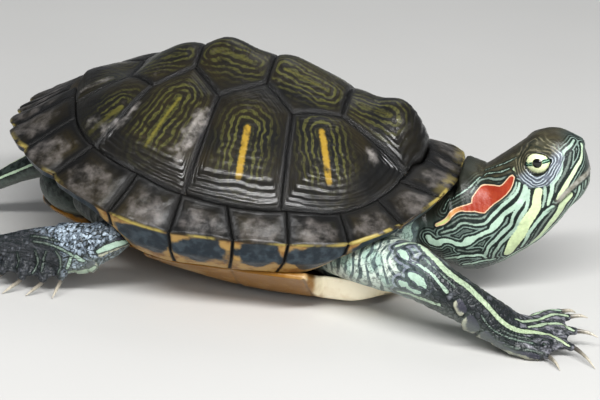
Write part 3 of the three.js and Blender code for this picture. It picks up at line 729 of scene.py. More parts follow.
def marginal_relief(grid, place, to_side, to_shelf, seed):
    """Phase of a marginal's growth lines, and the height of its relief."""
    inner = np.minimum(to_side, to_shelf * 0.9)
    phase = inner / EDGE_LINE_SPACING + noise(grid, 3.0, seed) * 0.5
    lines = EDGE_LINE_HEIGHT * saw_ridge(phase, EDGE_LINE_PEAK) * smooth(0.4, 1.2, inner)
    lines = lines * smooth(-0.4, 0.5, noise(grid, 5, seed + 1))
    groove = SEAM_DEPTH * bump(np.minimum(to_side, to_shelf), 0, SEAM_WIDTH) * np.where(place < 2.4, 1, 0.6)
    grain = EDGE_GRAIN * noise(grid, 1.1, seed + 2) + EDGE_UNEVENNESS * noise(grid, 3.4, seed + 4)
    raised = (EDGE_PILLOW * smooth(0.3, 4.2, inner) + lines) * (1 - smooth(0.92, 1.05, place))
    return phase, raised - groove + grain + RIM_BEAD * bump(place, 1.0, 0.12)


def marginal_fields(grid, angle, place, distances, phase, tone, seed):
    """Colour values of a marginal: its worn patch, the dark blotch under it, and the yellow edge."""
    to_side, to_shelf, to_rim = distances
    across = np.linspace(0, 1, len(grid))[:, None]
    patch = oval(across, place, WORN_PATCH)
    blotch = oval(across, place, UNDER_BLOTCH) + 0.35 * noise(grid, 3.0, seed + 8)
    width = lerp(*GOLD_WIDTHS, bridging(angle))
    gold = smooth(width * 1.5, width * 0.7, np.where(place <= 1, to_rim, (place - 1) * 3))
    gold = gold * smooth(-0.25, 0.3, noise(grid, 6.0, 90) + lerp(0.0, 0.1, bridging(angle)))
    front = smooth(3.4, 1.4, to_rim) * bump(angle, 10, 6) * (place <= 1) * smooth(0.3, 0.9, to_side)
    dark = np.maximum(smooth(2.4, 1.1, to_side), smooth(3.0, 0.8, to_shelf))
    return plate_fields(place.shape, seam=np.minimum(to_side, to_shelf), ring=phase, tone=tone, dark=dark,
                        worn=(patch - 1) * 3, gold=np.maximum(gold, 0.42 * front),
                        under=smooth(0.98, 1.1, place), blotch=blotch)


def marginal(shelf_span, rim_span, tone, seed, notches):
    """One marginal: it slopes from the shelf to a sharp rim, then turns down and in under the edge."""
    grid, angle, place = marginal_surface(shelf_span, rim_span, notches)
    outward = np.stack([grid[..., 0] - SHELL_MID_X, grid[..., 1], np.zeros(place.shape)], -1) / SHELL_REACH
    upward = np.where(place < 1, 1.2, -0.35)[..., None] * [0, 0, 1]
    distances = marginal_distances(grid, place)
    phase, height = marginal_relief(grid, place, *distances[:2], seed)
    grid = grid + grid_normals(grid, outward + upward) * height[..., None]
    shelf_turn = lerp(*shelf_span, np.linspace(0, 1, len(grid))[:, None])
    x, y = level_points(shelf_turn, dome_seam(np.abs(shelf_turn)) - 0.006)
    z = shell_top(x, y) - keel_height(x, y)
    back = [np.stack([x, y, z - drop], -1) for drop in (2.0, SKIRT)]
    fields = marginal_fields(grid, angle, place, distances, phase, tone, seed)
    fields = {name: np.concatenate([v, v[:, :1], v[:, :1]], 1) for name, v in fields.items()}
    return loft(np.concatenate([grid, *back], 1), fields)


def marginals(side):
    plates = []
    for k in range(12):
        shelf_span = (side * DOME_SEAMS[k], side * DOME_SEAMS[k + 1])
        rim_span = (side * RIM_SEAMS[k], side * RIM_SEAMS[k + 1])
        tone = 0.35 + 0.3 * ((k * 7) % 5) / 5
        plates.append(marginal(shelf_span, rim_span, tone, 100 + k + 20 * (side > 0), REAR_NOTCHES))
    if side < 0:
        plates.append(marginal((-DOME_SEAMS[0], DOME_SEAMS[0]), (-RIM_SEAMS[0], RIM_SEAMS[0]), 0.4, 140, ()))
    return merged(plates)


BONE_DEPTH = 1.25                           # how far the bone lies under the plates' faces


def bone():
    """The shell under the plates, which shows at the bottom of the seams and from below."""
    turns = np.linspace(0, 360, 144, endpoint=False)
    signed = np.where(turns > 180, turns - 360, turns)
    angle = np.abs(signed)
    rings = []
    for level in np.linspace(0.02, 0.97, 24):
        x, y = level_points(signed, level)
        knob = keel_height(x, y) * smooth(0.70, 0.80, level)
        rings.append(np.stack([x, y, shell_top(x, y) - knob - BONE_DEPTH], 1))
    for level, drop in ((0.93, 1.5), (0.88, 1.0)):
        x, y = level_points(signed, np.full(len(signed), level))
        rings.append(np.stack([x, y, rim_height(angle) - drop], 1))
    for level in (0.8, 0.6, 0.3):
        x, y = level_points(signed, np.full(len(signed), level))
        rings.append(np.stack([x, y, shell_top(x, y) - keel_height(x, y) - SHELL_WALL], 1))
    return loft(rings)


# -----------------------------------------------------------------------------
# Plastron
# -----------------------------------------------------------------------------

PLASTRON_FRONT_X = 44.6
PLASTRON_REAR_X = -46.0
PLASTRON_PLAN = [(PLASTRON_REAR_X, 5), (-44.5, 10), (-40, 14.5), (-32, 18), (-22, 20), (26, 22.4), (34, 21),
                 (40, 17), (43.4, 11), (PLASTRON_FRONT_X, 5)]
BRIDGE_FRONT_X = 23.0
BRIDGE_REAR_X = -14.0
BRIDGE_HALF_WIDTH = 33.9
BRIDGE_BELOW_RIM = 9.7
BRIDGE_POWER = 1.35
BELLY_HALF_WIDTH = 20.0
BELLY_SAG = 0.5
PLASTRON_BOTTOM_Z = 1.3
PLASTRON_FRONT_RISE = 3.4
PLASTRON_REAR_RISE = 11.0
PLASTRON_WALL = 2.1
PLASTRON_EDGE = 0.35
PLASTRON_BEVEL = 1.4
# The seams across the plastron: where each crosses the middle, and how it slopes outwards.
PLASTRON_SEAMS = ((35.5, 0.75), (23.5, -0.03), (5.5, 0.02), (-13.5, 0.03), (-30.0, -0.05))
PLASTRON_SEAM_DEPTH = 0.3
FRONT_LIP = 4.0                             # how far the front lobe's edge turns up
FRONT_LIP_SPREAD = 1.4
LOBE_CORNER = 2.4                           # how far the front lobe's corner stands out past its solid
LOBE_CORNER_X = 41.2


def plastron_underside(x, y):
    lift = PLASTRON_FRONT_RISE * smooth(30, 46, x) + PLASTRON_REAR_RISE * (1 - smooth(-55, 15, x))
    t = np.maximum(0, (np.abs(y) - BELLY_HALF_WIDTH) / (BRIDGE_HALF_WIDTH - BELLY_HALF_WIDTH))
    belly = PLASTRON_BOTTOM_Z + lift + BELLY_SAG * (np.abs(y) / BELLY_HALF_WIDTH) ** 2
    bridge_top = rim_height(bearing(x, BRIDGE_HALF_WIDTH)) - BRIDGE_BELOW_RIM
    return lerp(belly, bridge_top, np.minimum(1, t) ** BRIDGE_POWER)


def plastron_outline():
    """Stations along the plastron, how far each lies on the bridge, and its half-width."""
    edges = [BRIDGE_FRONT_X + 2, BRIDGE_FRONT_X, BRIDGE_REAR_X, BRIDGE_REAR_X - 2]
    x = np.unique(np.concatenate([np.linspace(PLASTRON_REAR_X, PLASTRON_FRONT_X, 190), np.array(edges)]))
    bridge = smooth(BRIDGE_REAR_X - 2.4, BRIDGE_REAR_X + 0.4, x)
    bridge = bridge * (1 - smooth(BRIDGE_FRONT_X - 0.4, BRIDGE_FRONT_X + 2.4, x))
    spread = FRONT_LIP_SPREAD * smooth(20, 25, x) * (1 - smooth(40, 44.3, x))
    spread = spread + LOBE_CORNER * bump(x, LOBE_CORNER_X, 2.6)
    half = lerp(along(PLASTRON_PLAN, x) + spread, BRIDGE_HALF_WIDTH, bridge)
    return x[:, None], bridge[:, None], half[:, None]


def plastron_seam(x, y):
    """Distance to the plastron's nearest seam; the one along the middle wanders."""
    middle = np.abs(y + 0.5 * np.sin(x * 0.22))
    return np.minimum.reduce([middle] + [np.abs(x - at - slope * np.abs(y)) for at, slope in PLASTRON_SEAMS])


def plastron():
    x, bridge, half = plastron_outline()
    side = np.linspace(-1, 1, 150)[None, :]
    y = half * side
    x = np.broadcast_to(x, y.shape)
    seam = plastron_seam(x, y)
    lip = FRONT_LIP * smooth(0.84, 1.0, np.abs(side)) ** 1.3 * (1 - bridge) * (x > 5)
    low = plastron_underside(x, y) + lip * (1 - smooth(37, 44.5, x))
    grid = np.stack([x, y, low], -1)
    groove = PLASTRON_SEAM_DEPTH * bump(seam, 0, 0.4) - 0.05 * fractal(grid, 3.0, 5)
    grid[..., 2] += groove + 0.7 * smooth(0.93, 1.0, np.abs(side)) ** 2 * (1 - bridge)
    edge = lerp(1.0, PLASTRON_EDGE, smooth(0.9, 1.0, np.abs(side)))
    top_y = y - PLASTRON_BEVEL * smooth(20, 34, np.abs(y)) * np.sign(side)
    top = np.stack([x, top_y, low + PLASTRON_WALL * edge + 0.3], -1)
    fields = {"seam": np.concatenate([seam, np.full(seam.shape, FAR)], 1)}
    for name, field in (("lobe", smooth(21, 27, x)), ("under", 1 - smooth(17, 21, np.abs(y)))):
        fields[name] = np.concatenate([field, field[:, ::-1]], 1)
    return loft(np.concatenate([grid, top[:, ::-1]], 1), fields)


# -----------------------------------------------------------------------------
# Flesh: the head, neck, limbs, feet and tail, lofted like their solids
# -----------------------------------------------------------------------------

HEAD_TOP = [(-1, 9.8), (4, 10), (8, 10.3), (12, 10.7), (15.4, 10.9), (17.7, 10.3), (19.7, 9.2), (21, 7.6),
            (22, 6.2), (23, 4.6)]
HEAD_BOTTOM = [(-1, -11.3), (3.2, -10.9), (6.4, -10.1), (9.5, -9.1), (12.7, -7.8), (16.3, -6.9), (18, -6),
               (19.4, -4.9), (20.6, -3.1), (21.6, -0.6), (22.2, 1.6), (23, 3.3)]
HEAD_WIDE = [(-1, 9.3), (4, 9.2), (8, 8.7), (11, 8.3), (14, 7.7), (17, 6.3), (19.5, 4.8), (21.5, 3.4),
             (23, 1.5)]
NECK = {                                    # at equal steps from the shell to the head
    "x": (37, 46.4, 53.2, 57.5, 61.9), "z": (17.6, 17.4, 17.6, 19, 22.4), "pitch": (0, 3, 9, 22, 37),
    "up": (7.2, 7.9, 13.6, 14.0, 11.0), "down": (7.2, 8.4, 11.4, 11.5, 11.3),
    "wide": (9.5, 11, 11.2, 10.5, 9.3),
}

NECK_ROOF_Z = 25.4                          # the neck stays under the shell's edge up to its front
# Stations of a limb: x, y, z, half-height, half-width, roll of the section.
FORELEG_RIGHT = [
    (30, -17, 13.2, 5.7, 10, 0), (37.5, -24.5, 14.5, 5.5, 8.6, 0), (46, -30.2, 15.5, 6.1, 5, 0),
    (53.3, -33.0, 13.4, 5.0, 4.5, 0), (59.2, -33.0, 10.6, 4.5, 4.2, 0.2), (64.3, -31.8, 7.5, 3.9, 4.8, 0.4),
    (69, -30.6, 4.7, 3.0, 5.2, 0.4),
]
FORELEG_LEFT = [
    (30, 17, 12.6, 6.6, 10, 0), (36, 25, 14.2, 6.4, 8.4, 0), (41.5, 33, 14.6, 6.2, 5.2, 0),
    (43.2, 39.6, 12.6, 4.9, 4.5, 0), (43.3, 43.6, 9, 4.2, 4.2, 0), (43.6, 46.4, 5.8, 3.5, 4.6, 0),
    (45.2, 49.2, 3.2, 2.8, 5.0, 0),
]
HINDLEG_RIGHT = [
    (-27, -17, 18.5, 6.0, 8.5, 0), (-21.5, -25.5, 17.4, 5.2, 6.0, 0), (-21.0, -30.4, 15.2, 4.2, 3.4, 0),
    (-24.4, -32.6, 13.4, 4.7, 3.3, 0), (-28.4, -33, 11.9, 5.7, 3.3, 0), (-32.5, -33, 10.9, 6.0, 3.1, 0),
]
HINDLEG_LEFT = [
    (-27, 17, 18.5, 6.0, 8.5, 0), (-21.5, 25.5, 16.8, 5.4, 6.6, 0), (-19.6, 31.2, 13.2, 4.5, 4.4, 0),
    (-20, 35.8, 10, 4.2, 4.3, 0), (-21.2, 39.4, 6.8, 3.7, 4.8, 0), (-24, 42.2, 3.8, 3.0, 5.2, 0),
]
TAIL = [
    (-39, 0, 19, 4.4, 6.2, 0), (-47, 0.3, 17.8, 3.5, 4.2, 0), (-53, 0.9, 14.9, 2.7, 3.0, 0),
    (-59, 1.6, 11.1, 2.1, 2.2, 0), (-65, 2.5, 7.2, 1.5, 1.6, 0), (-71, 3.6, 3.6, 0.7, 0.8, 0),
]
TRUNK = [
    (-44.5, 0, 20.5, 5, 10, 0), (-37, 0, 23, 8.4, 19, 0), (-24, 0, 25, 13, 26, 0), (-8, 0, 25.3, 16.3, 30, 0),
    (8, 0, 23.7, 17.2, 30, 0), (24, 0, 21, 14.8, 28, 0), (36, 0, 17.6, 10, 23, 0), (44, 0, 16.4, 7, 13, 0),
]

# Feet: the palm's stations, and for each toe its root, tip, claw point (or none) and half-thickness.
FOREFOOT_RIGHT = {
    "sole": (0.074, -0.374, 0.925),
    "palm": [(68.6, -30.6, 4.7, 2.9, 5.2, 0.4), (73, -29.6, 3.7, 2.2, 5.8, 0.38),
             (76.5, -28.8, 3.6, 1.5, 5.6, 0.38)],
    "toes": [
        ((72.5, -24.5, 5.4), (78.6, -20.8, 6.7), (81.6, -19.4, 6.2), 1.3),
        ((73.5, -25.6, 5.0), (80.6, -21.6, 6.1), (84.4, -20.6, 5.9), 1.35),
        ((75, -27.6, 4.3), (82.6, -25.3, 4.5), (87.3, -25.6, 3.8), 1.4),
        ((75, -29.8, 3.6), (82.6, -30.2, 2.6), (87.8, -34.2, 0.2), 1.4),
        ((73, -32.4, 2.4), (77.6, -34.2, 1.5), (80.5, -37.6, 0.2), 1.3),
    ],
}
FOREFOOT_LEFT = {
    "sole": (0, 0, 1),
    "palm": [(45, 48.8, 3.2, 2.6, 5.0, 0), (47.4, 51.6, 1.9, 2.0, 5.6, 0), (49.4, 53.4, 1.35, 1.5, 5.6, 0)],
    "toes": [
        ((52, 49.6, 1.05), (57.4, 49.6, 0.9), (61, 49.4, 0.2), 1.3),
        ((51.6, 51.4, 1.05), (58, 53.4, 0.9), (62.2, 54.4, 0.2), 1.35),
        ((50.6, 53, 1.05), (56.4, 57.4, 0.9), (60, 59.8, 0.2), 1.4),
        ((48.8, 54.2, 1.05), (52.6, 60, 0.9), (55, 63.4, 0.2), 1.4),
        ((46.4, 54.6, 1.05), (47.4, 59.6, 0.9), (47.8, 63, 0.2), 1.3),
    ],
}
HINDFOOT_RIGHT = {
    "sole": (0, -0.906, 0.422),
    "palm": [(-32.3, -33, 10.8, 5.6, 3.0, 0), (-37, -33.1, 10.4, 5.0, 2.5, 0), (-42, -33.4, 9.9, 4.2, 2.1, 0),
             (-46.5, -33.4, 9.6, 2.8, 1.7, 0)],
    "toes": [
        ((-32.6, -33.6, 8), (-32.2, -35.4, 4.2), (-33.7, -37, 0.2), 1.45),
        ((-36.4, -33.7, 7.8), (-36.4, -36, 3.4), (-39.7, -37.7, 0.2), 1.5),
        ((-40.4, -33.9, 7.8), (-41.3, -36.2, 3.4), (-45, -38.2, 0.2), 1.5),
        ((-44, -33.8, 8.2), (-46.2, -35.9, 3.9), (-50, -37.8, 0.2), 1.45),
        ((-46.8, -33.6, 9), (-50.8, -35, 5.2), None, 1.35),
    ],
}
HINDFOOT_LEFT = {
    "sole": (0, 0, 1),
    "palm": [(-24, 42.2, 3.8, 2.9, 5.2, 0), (-27.5, 45.2, 2.1, 2.2, 6.4, 0), (-30.9, 48.2, 1.5, 1.6, 6.6, 0)],
    "toes": [
        ((-27.1, 49.6, 1.1), (-26.7, 55, 0.95), (-26.5, 58.8, 0.2), 1.45),
        ((-29.7, 50, 1.1), (-31.3, 56.8, 0.95), (-32.3, 61, 0.2), 1.5),
        ((-32.1, 49.6, 1.1), (-36.1, 56.2, 0.95), (-38.5, 59.8, 0.2), 1.5),
        ((-33.9, 48.2, 1.1), (-40.1, 52.8, 0.95), (-43.5, 55.2, 0.2), 1.45),
        ((-34.5, 46, 1.1), (-40.5, 48.2, 0.95), None, 1.35),
    ],
}
LIMBS = {"foreleg_right": FORELEG_RIGHT, "foreleg_left": FORELEG_LEFT, "hindleg_right": HINDLEG_RIGHT,
         "hindleg_left": HINDLEG_LEFT}
FEET = {"forefoot_right": FOREFOOT_RIGHT, "forefoot_left": FOREFOOT_LEFT, "hindfoot_right": HINDFOOT_RIGHT,
        "hindfoot_left": HINDFOOT_LEFT}
WEB_REACH = 0.90
WEB_HALF_THICKNESS = 0.45
TOE_ARCH = 0.25
TOE_SIZES = (1.0, 0.86, 0.62)
TOE_PULL = 0.7                              # how much a toe's flesh is shorter than its solid
CLAW_ARCH = 0.35


def curve_points(points, t):
    """A centripetal Catmull-Rom curve through the points, at fractions t of its stations."""
    points = np.asarray(points, float)
    padded = np.concatenate([[2 * points[0] - points[1]], points, [2 * points[-1] - points[-2]]])
    place = np.clip(np.asarray(t, float), 0, 1) * (len(points) - 1)
    k = np.minimum(place.astype(int), len(points) - 2)
    w = (place - k)[:, None]
    p0, p1, p2, p3 = (padded[k + j] for j in range(4))
    pairs = ((p0, p1), (p1, p2), (p2, p3))
    d0, d1, d2 = (np.maximum(np.sqrt(np.linalg.norm(b - a, axis=1)), 1e-4)[:, None] for a, b in pairs)
    t1 = ((p1 - p0) / d0 - (p2 - p0) / (d0 + d1) + (p2 - p1) / d1) * d1
    t2 = ((p2 - p1) / d1 - (p3 - p1) / (d1 + d2) + (p3 - p2) / d2) * d1
    return p1 + t1 * w + (-3 * p1 + 3 * p2 - 2 * t1 - t2) * w ** 2 + (2 * p1 - 2 * p2 + t1 + t2) * w ** 3


def limb_frames(stations, t):
    """Centres, sideways and upward axes, and half-sizes of a limb's sections."""
    stations = np.asarray(stations, float)
    t = np.asarray(t, float)
    centre, ahead, behind = (curve_points(stations[:, :3], at)
                             for at in (t, np.minimum(t + 1e-3, 1), np.maximum(t - 1e-3, 0)))
    forward = unit(ahead - behind)
    across = unit(np.cross([0, 0, 1.0], forward))
    up = np.cross(forward, across)
    place, steps = t * (len(stations) - 1), np.arange(len(stations))
    high, wide, roll = (np.interp(place, steps, stations[:, k])[:, None] for k in (3, 4, 5))
    across, up = across * np.cos(roll) + up * np.sin(roll), up * np.cos(roll) - across * np.sin(roll)
    return centre, across, up, high, wide


def limb(stations, start=0.0, end=1.0, rings=48, sides=40):
    centre, across, up, high, wide = limb_frames(stations, np.linspace(start, end, rings))
    turn = np.linspace(0, 2 * math.pi, sides, endpoint=False)
    return loft(centre[:, None] + (across * wide)[:, None] * np.cos(turn)[None, :, None]
                + (up * high)[:, None] * np.sin(turn)[None, :, None])


def squircle(turn, across, up, power):
    scale = (np.abs(np.cos(turn)) ** power + np.abs(np.sin(turn)) ** power) ** (-1 / power)
    return across * np.cos(turn) * scale, up * np.sin(turn) * scale


def turned(points, angle):
    """Points turned about the Y axis, nose up for a positive angle."""
    c, s = math.cos(angle), math.sin(angle)
    x, y, z = np.moveaxis(points, -1, 0)
    return np.stack([x * c - z * s, y, x * s + z * c], -1)


def from_head(points):
    """From the head's own frame to body millimetres."""
    return turned(np.asarray(points, float), HEAD_PITCH) + HEAD_BACK


def to_head(points):
    return turned(np.asarray(points, float) - HEAD_BACK, -HEAD_PITCH)


def head():
    x = np.concatenate([np.linspace(-1, 20, 70), np.linspace(20.2, 23, 24)])[:, None]
    turn = np.linspace(0, 2 * math.pi, 96, endpoint=False)[None, :]
    top, bottom = along(HEAD_TOP, x), along(HEAD_BOTTOM, x)
    y, z = squircle(turn, along(HEAD_WIDE, x), (top - bottom) / 2, HEAD_SQUARENESS)
    rings = np.stack([np.broadcast_to(x, y.shape), y, z + (top + bottom) / 2], -1)
    return loft(from_head(rings))


def neck():
    place = np.linspace(0, 4, 70)[:, None]
    read = {key: along(list(enumerate(values)), place) for key, values in NECK.items()}
    turn = np.linspace(0, 2 * math.pi, 80, endpoint=False)[None, :]
    tall = np.where(np.sin(turn) >= 0, read["up"], read["down"])
    y, v = squircle(turn, read["wide"], tall, NECK_SQUARENESS)
    pitch = np.radians(read["pitch"])
    x = read["x"] - v * np.sin(pitch)
    roof = lerp(NECK_ROOF_Z, 40, smooth(SHELL_FRONT_X - 0.3, SHELL_FRONT_X + 1.7, x))
    return loft(np.stack([x, y, np.minimum(read["z"] + v * np.cos(pitch), roof)], -1))


def ball(centre, radius, stretch=(1, 1, 1), rings=40):
    tilt = np.linspace(0.03, math.pi - 0.03, rings)[:, None]
    turn = np.linspace(0, 2 * math.pi, 2 * rings, endpoint=False)[None, :]
    shape = np.stack([np.sin(tilt) * np.cos(turn), np.sin(tilt) * np.sin(turn), np.cos(tilt) + 0 * turn], -1)
    return loft(np.asarray(centre) + shape * radius * np.asarray(stretch))


def toe_stations(root, tip, thick):
    start, end = np.array(root, float), np.array(tip, float)
    end = end - unit(end - start) * TOE_PULL
    middle = lerp(start, end, 0.55) + [0, 0, TOE_ARCH]
    return [(*p, thick * size, thick * size, 0) for p, size in zip((start, middle, end), TOE_SIZES)]


def toe_flesh(root, tip, thick):
    """A toe with a round tip and a round knuckle."""
    stations = toe_stations(root, tip, thick)
    knuckle = lerp(np.array(root, float), np.array(tip, float), 0.6)
    return [limb(stations, rings=24, sides=24), ball(stations[-1][:3], thick * 0.66, rings=14),
            ball(knuckle, thick * 0.96, rings=14)]


def web(one, two, normal):
    """The skin between two toes, with a hollow free edge."""
    a, b, c, d = (np.array(p, float) for p in (one[0], one[1], two[0], two[1]))
    span = np.linspace(0, 1, 12)[:, None]
    near = lerp(a, c, span)
    reach = WEB_REACH - 0.12 * np.sin(np.pi * span)
    far = lerp(lerp(a, b, reach), lerp(c, d, reach), span)
    return loft(np.stack([near - normal, far - normal * 0.7, far + normal * 0.7, near + normal], 1))


def foot(shape):
    """A palm, its toes, and the webs between them."""
    end = shape["palm"][-1]
    bodies = [limb(shape["palm"], rings=30)]
    bodies.append(ball(end[:3], 1.0, (max(end[3], 1.6), end[4], end[3]), rings=24))
    for root, tip, _, thick in shape["toes"]:
        bodies += toe_flesh(root, tip, thick)
    normal = np.array(shape["sole"], float) * WEB_HALF_THICKNESS
    return bodies + [web(one, two, normal) for one, two in zip(shape["toes"], shape["toes"][1:])]


VOXEL = 0.36


def fused(bodies, voxel):
    """The bodies as one closed skin, by a voxel remesh."""
    obj = mesh_object("fusing", merged(bodies))
    remesh = obj.modifiers.new("remesh", "REMESH")
    remesh.mode = "VOXEL"
    remesh.voxel_size = voxel * MM
    body = read_body(obj)
    mesh = obj.data
    bpy.data.objects.remove(obj)
    bpy.data.meshes.remove(mesh)
    return body


# -----------------------------------------------------------------------------
# The photo's camera, for aiming the render and for placing markings on the skin
# -----------------------------------------------------------------------------

def camera_axes():
    """Unit vectors from the aim point back to the camera, to the photo's right and to its top."""
    a, e, r = CAMERA_AZIMUTH, CAMERA_ELEVATION, CAMERA_ROLL
    back = np.array([math.sin(a) * math.cos(e), -math.cos(a) * math.cos(e), math.sin(e)])
    right = np.array([math.cos(a), math.sin(a), 0.0])
    up = np.cross(back, right)
    return back, math.cos(r) * right + math.sin(r) * up, -math.sin(r) * right + math.cos(r) * up


def pixel_direction(x, y):
    back, right, up = camera_axes()
    across = (x - PHOTO_AIM_PIXEL[0]) / PHOTO_FOCAL_PIXELS
    down = (y - PHOTO_AIM_PIXEL[1]) / PHOTO_FOCAL_PIXELS
    return unit(-back + right * across - up * down)


def camera_place():
    return CAMERA_AIM + camera_axes()[0] * CAMERA_DISTANCE


# Stripes on the chin, which the photo hides: places in the head's own frame (forward, left), half-widths and
# yellowness.
CHIN_STRIPES = [
    ([(20.4, 0.0), (17.5, 0.0), (14.5, 0.1)], (0.25, 0.42, 0.45), (0.5, 0.5)),
    ([(14.5, 0.1), (11, 1.1), (7, 2.5), (2.5, 3.6), (-3, 4.1), (-8, 4.3)],
     (0.42, 0.45, 0.5, 0.45, 0.4, 0.3), (0.5, 0.2)),
    ([(20.2, 1.5), (17.2, 2.2), (12.6, 3.3), (7.5, 4.6), (3, 5.4), (-3, 5.9), (-8, 6.1)],
     (0.2, 0.3, 0.32, 0.34, 0.3, 0.3, 0.2), (0.2, 0.1)),
    ([(18.4, 0.95), (14.6, 1.4), (11, 2.3), (6.5, 3.6)], (0.1, 0.14, 0.14, 0.1), (-0.7, -0.7)),
    ([(10.5, 0.0), (6, 0.5), (1.5, 1.1), (-3, 1.5), (-8, 1.6)], (0.12, 0.2, 0.25, 0.3, 0.2), (-0.6, 0.1)),
]


def chin_stripes(tree):
    """The chin's stripes on both sides, laid on the skin."""
    stripes = []
    for places, widths, yellow in CHIN_STRIPES:
        rows = np.array([(x, y, along(HEAD_BOTTOM, x)) for x, y in places], float)
        spots = [tree.find_nearest(Vector(p))[0] for p in from_head(rows)]
        stripes.append(Stripe(refined(np.array(spots)), widths, yellow))
    return stripes + [stripe.mirrored() for stripe in stripes]


def on_surface(tree, pixels):
    """Where the photo's pixels fall on a surface; pixels that miss it are left out."""
    start = Vector(camera_place())
    hits = [tree.ray_cast(start, Vector(pixel_direction(x, y)))[0] for x, y in pixels]
    return np.array([hit for hit in hits if hit is not None])


# -----------------------------------------------------------------------------
# Markings of the head and neck, as pixels of the photo on the right side; the left side mirrors them
# -----------------------------------------------------------------------------

RED_PATCH = [(513.3, 175), (515.2, 177), (513.6, 184.2), (510.9, 189.8), (506.7, 195), (500.7, 199.8),
             (493.6, 204.6), (488.8, 209.4), (485.2, 213), (480.4, 212.7), (475, 211.2), (472, 203),
             (472.6, 197.4), (477.4, 190.8), (481.6, 185.6), (487, 184.5), (493.6, 185.1), (500.2, 186),
             (503.7, 184.2), (506.7, 180.6), (510.3, 176.4)]
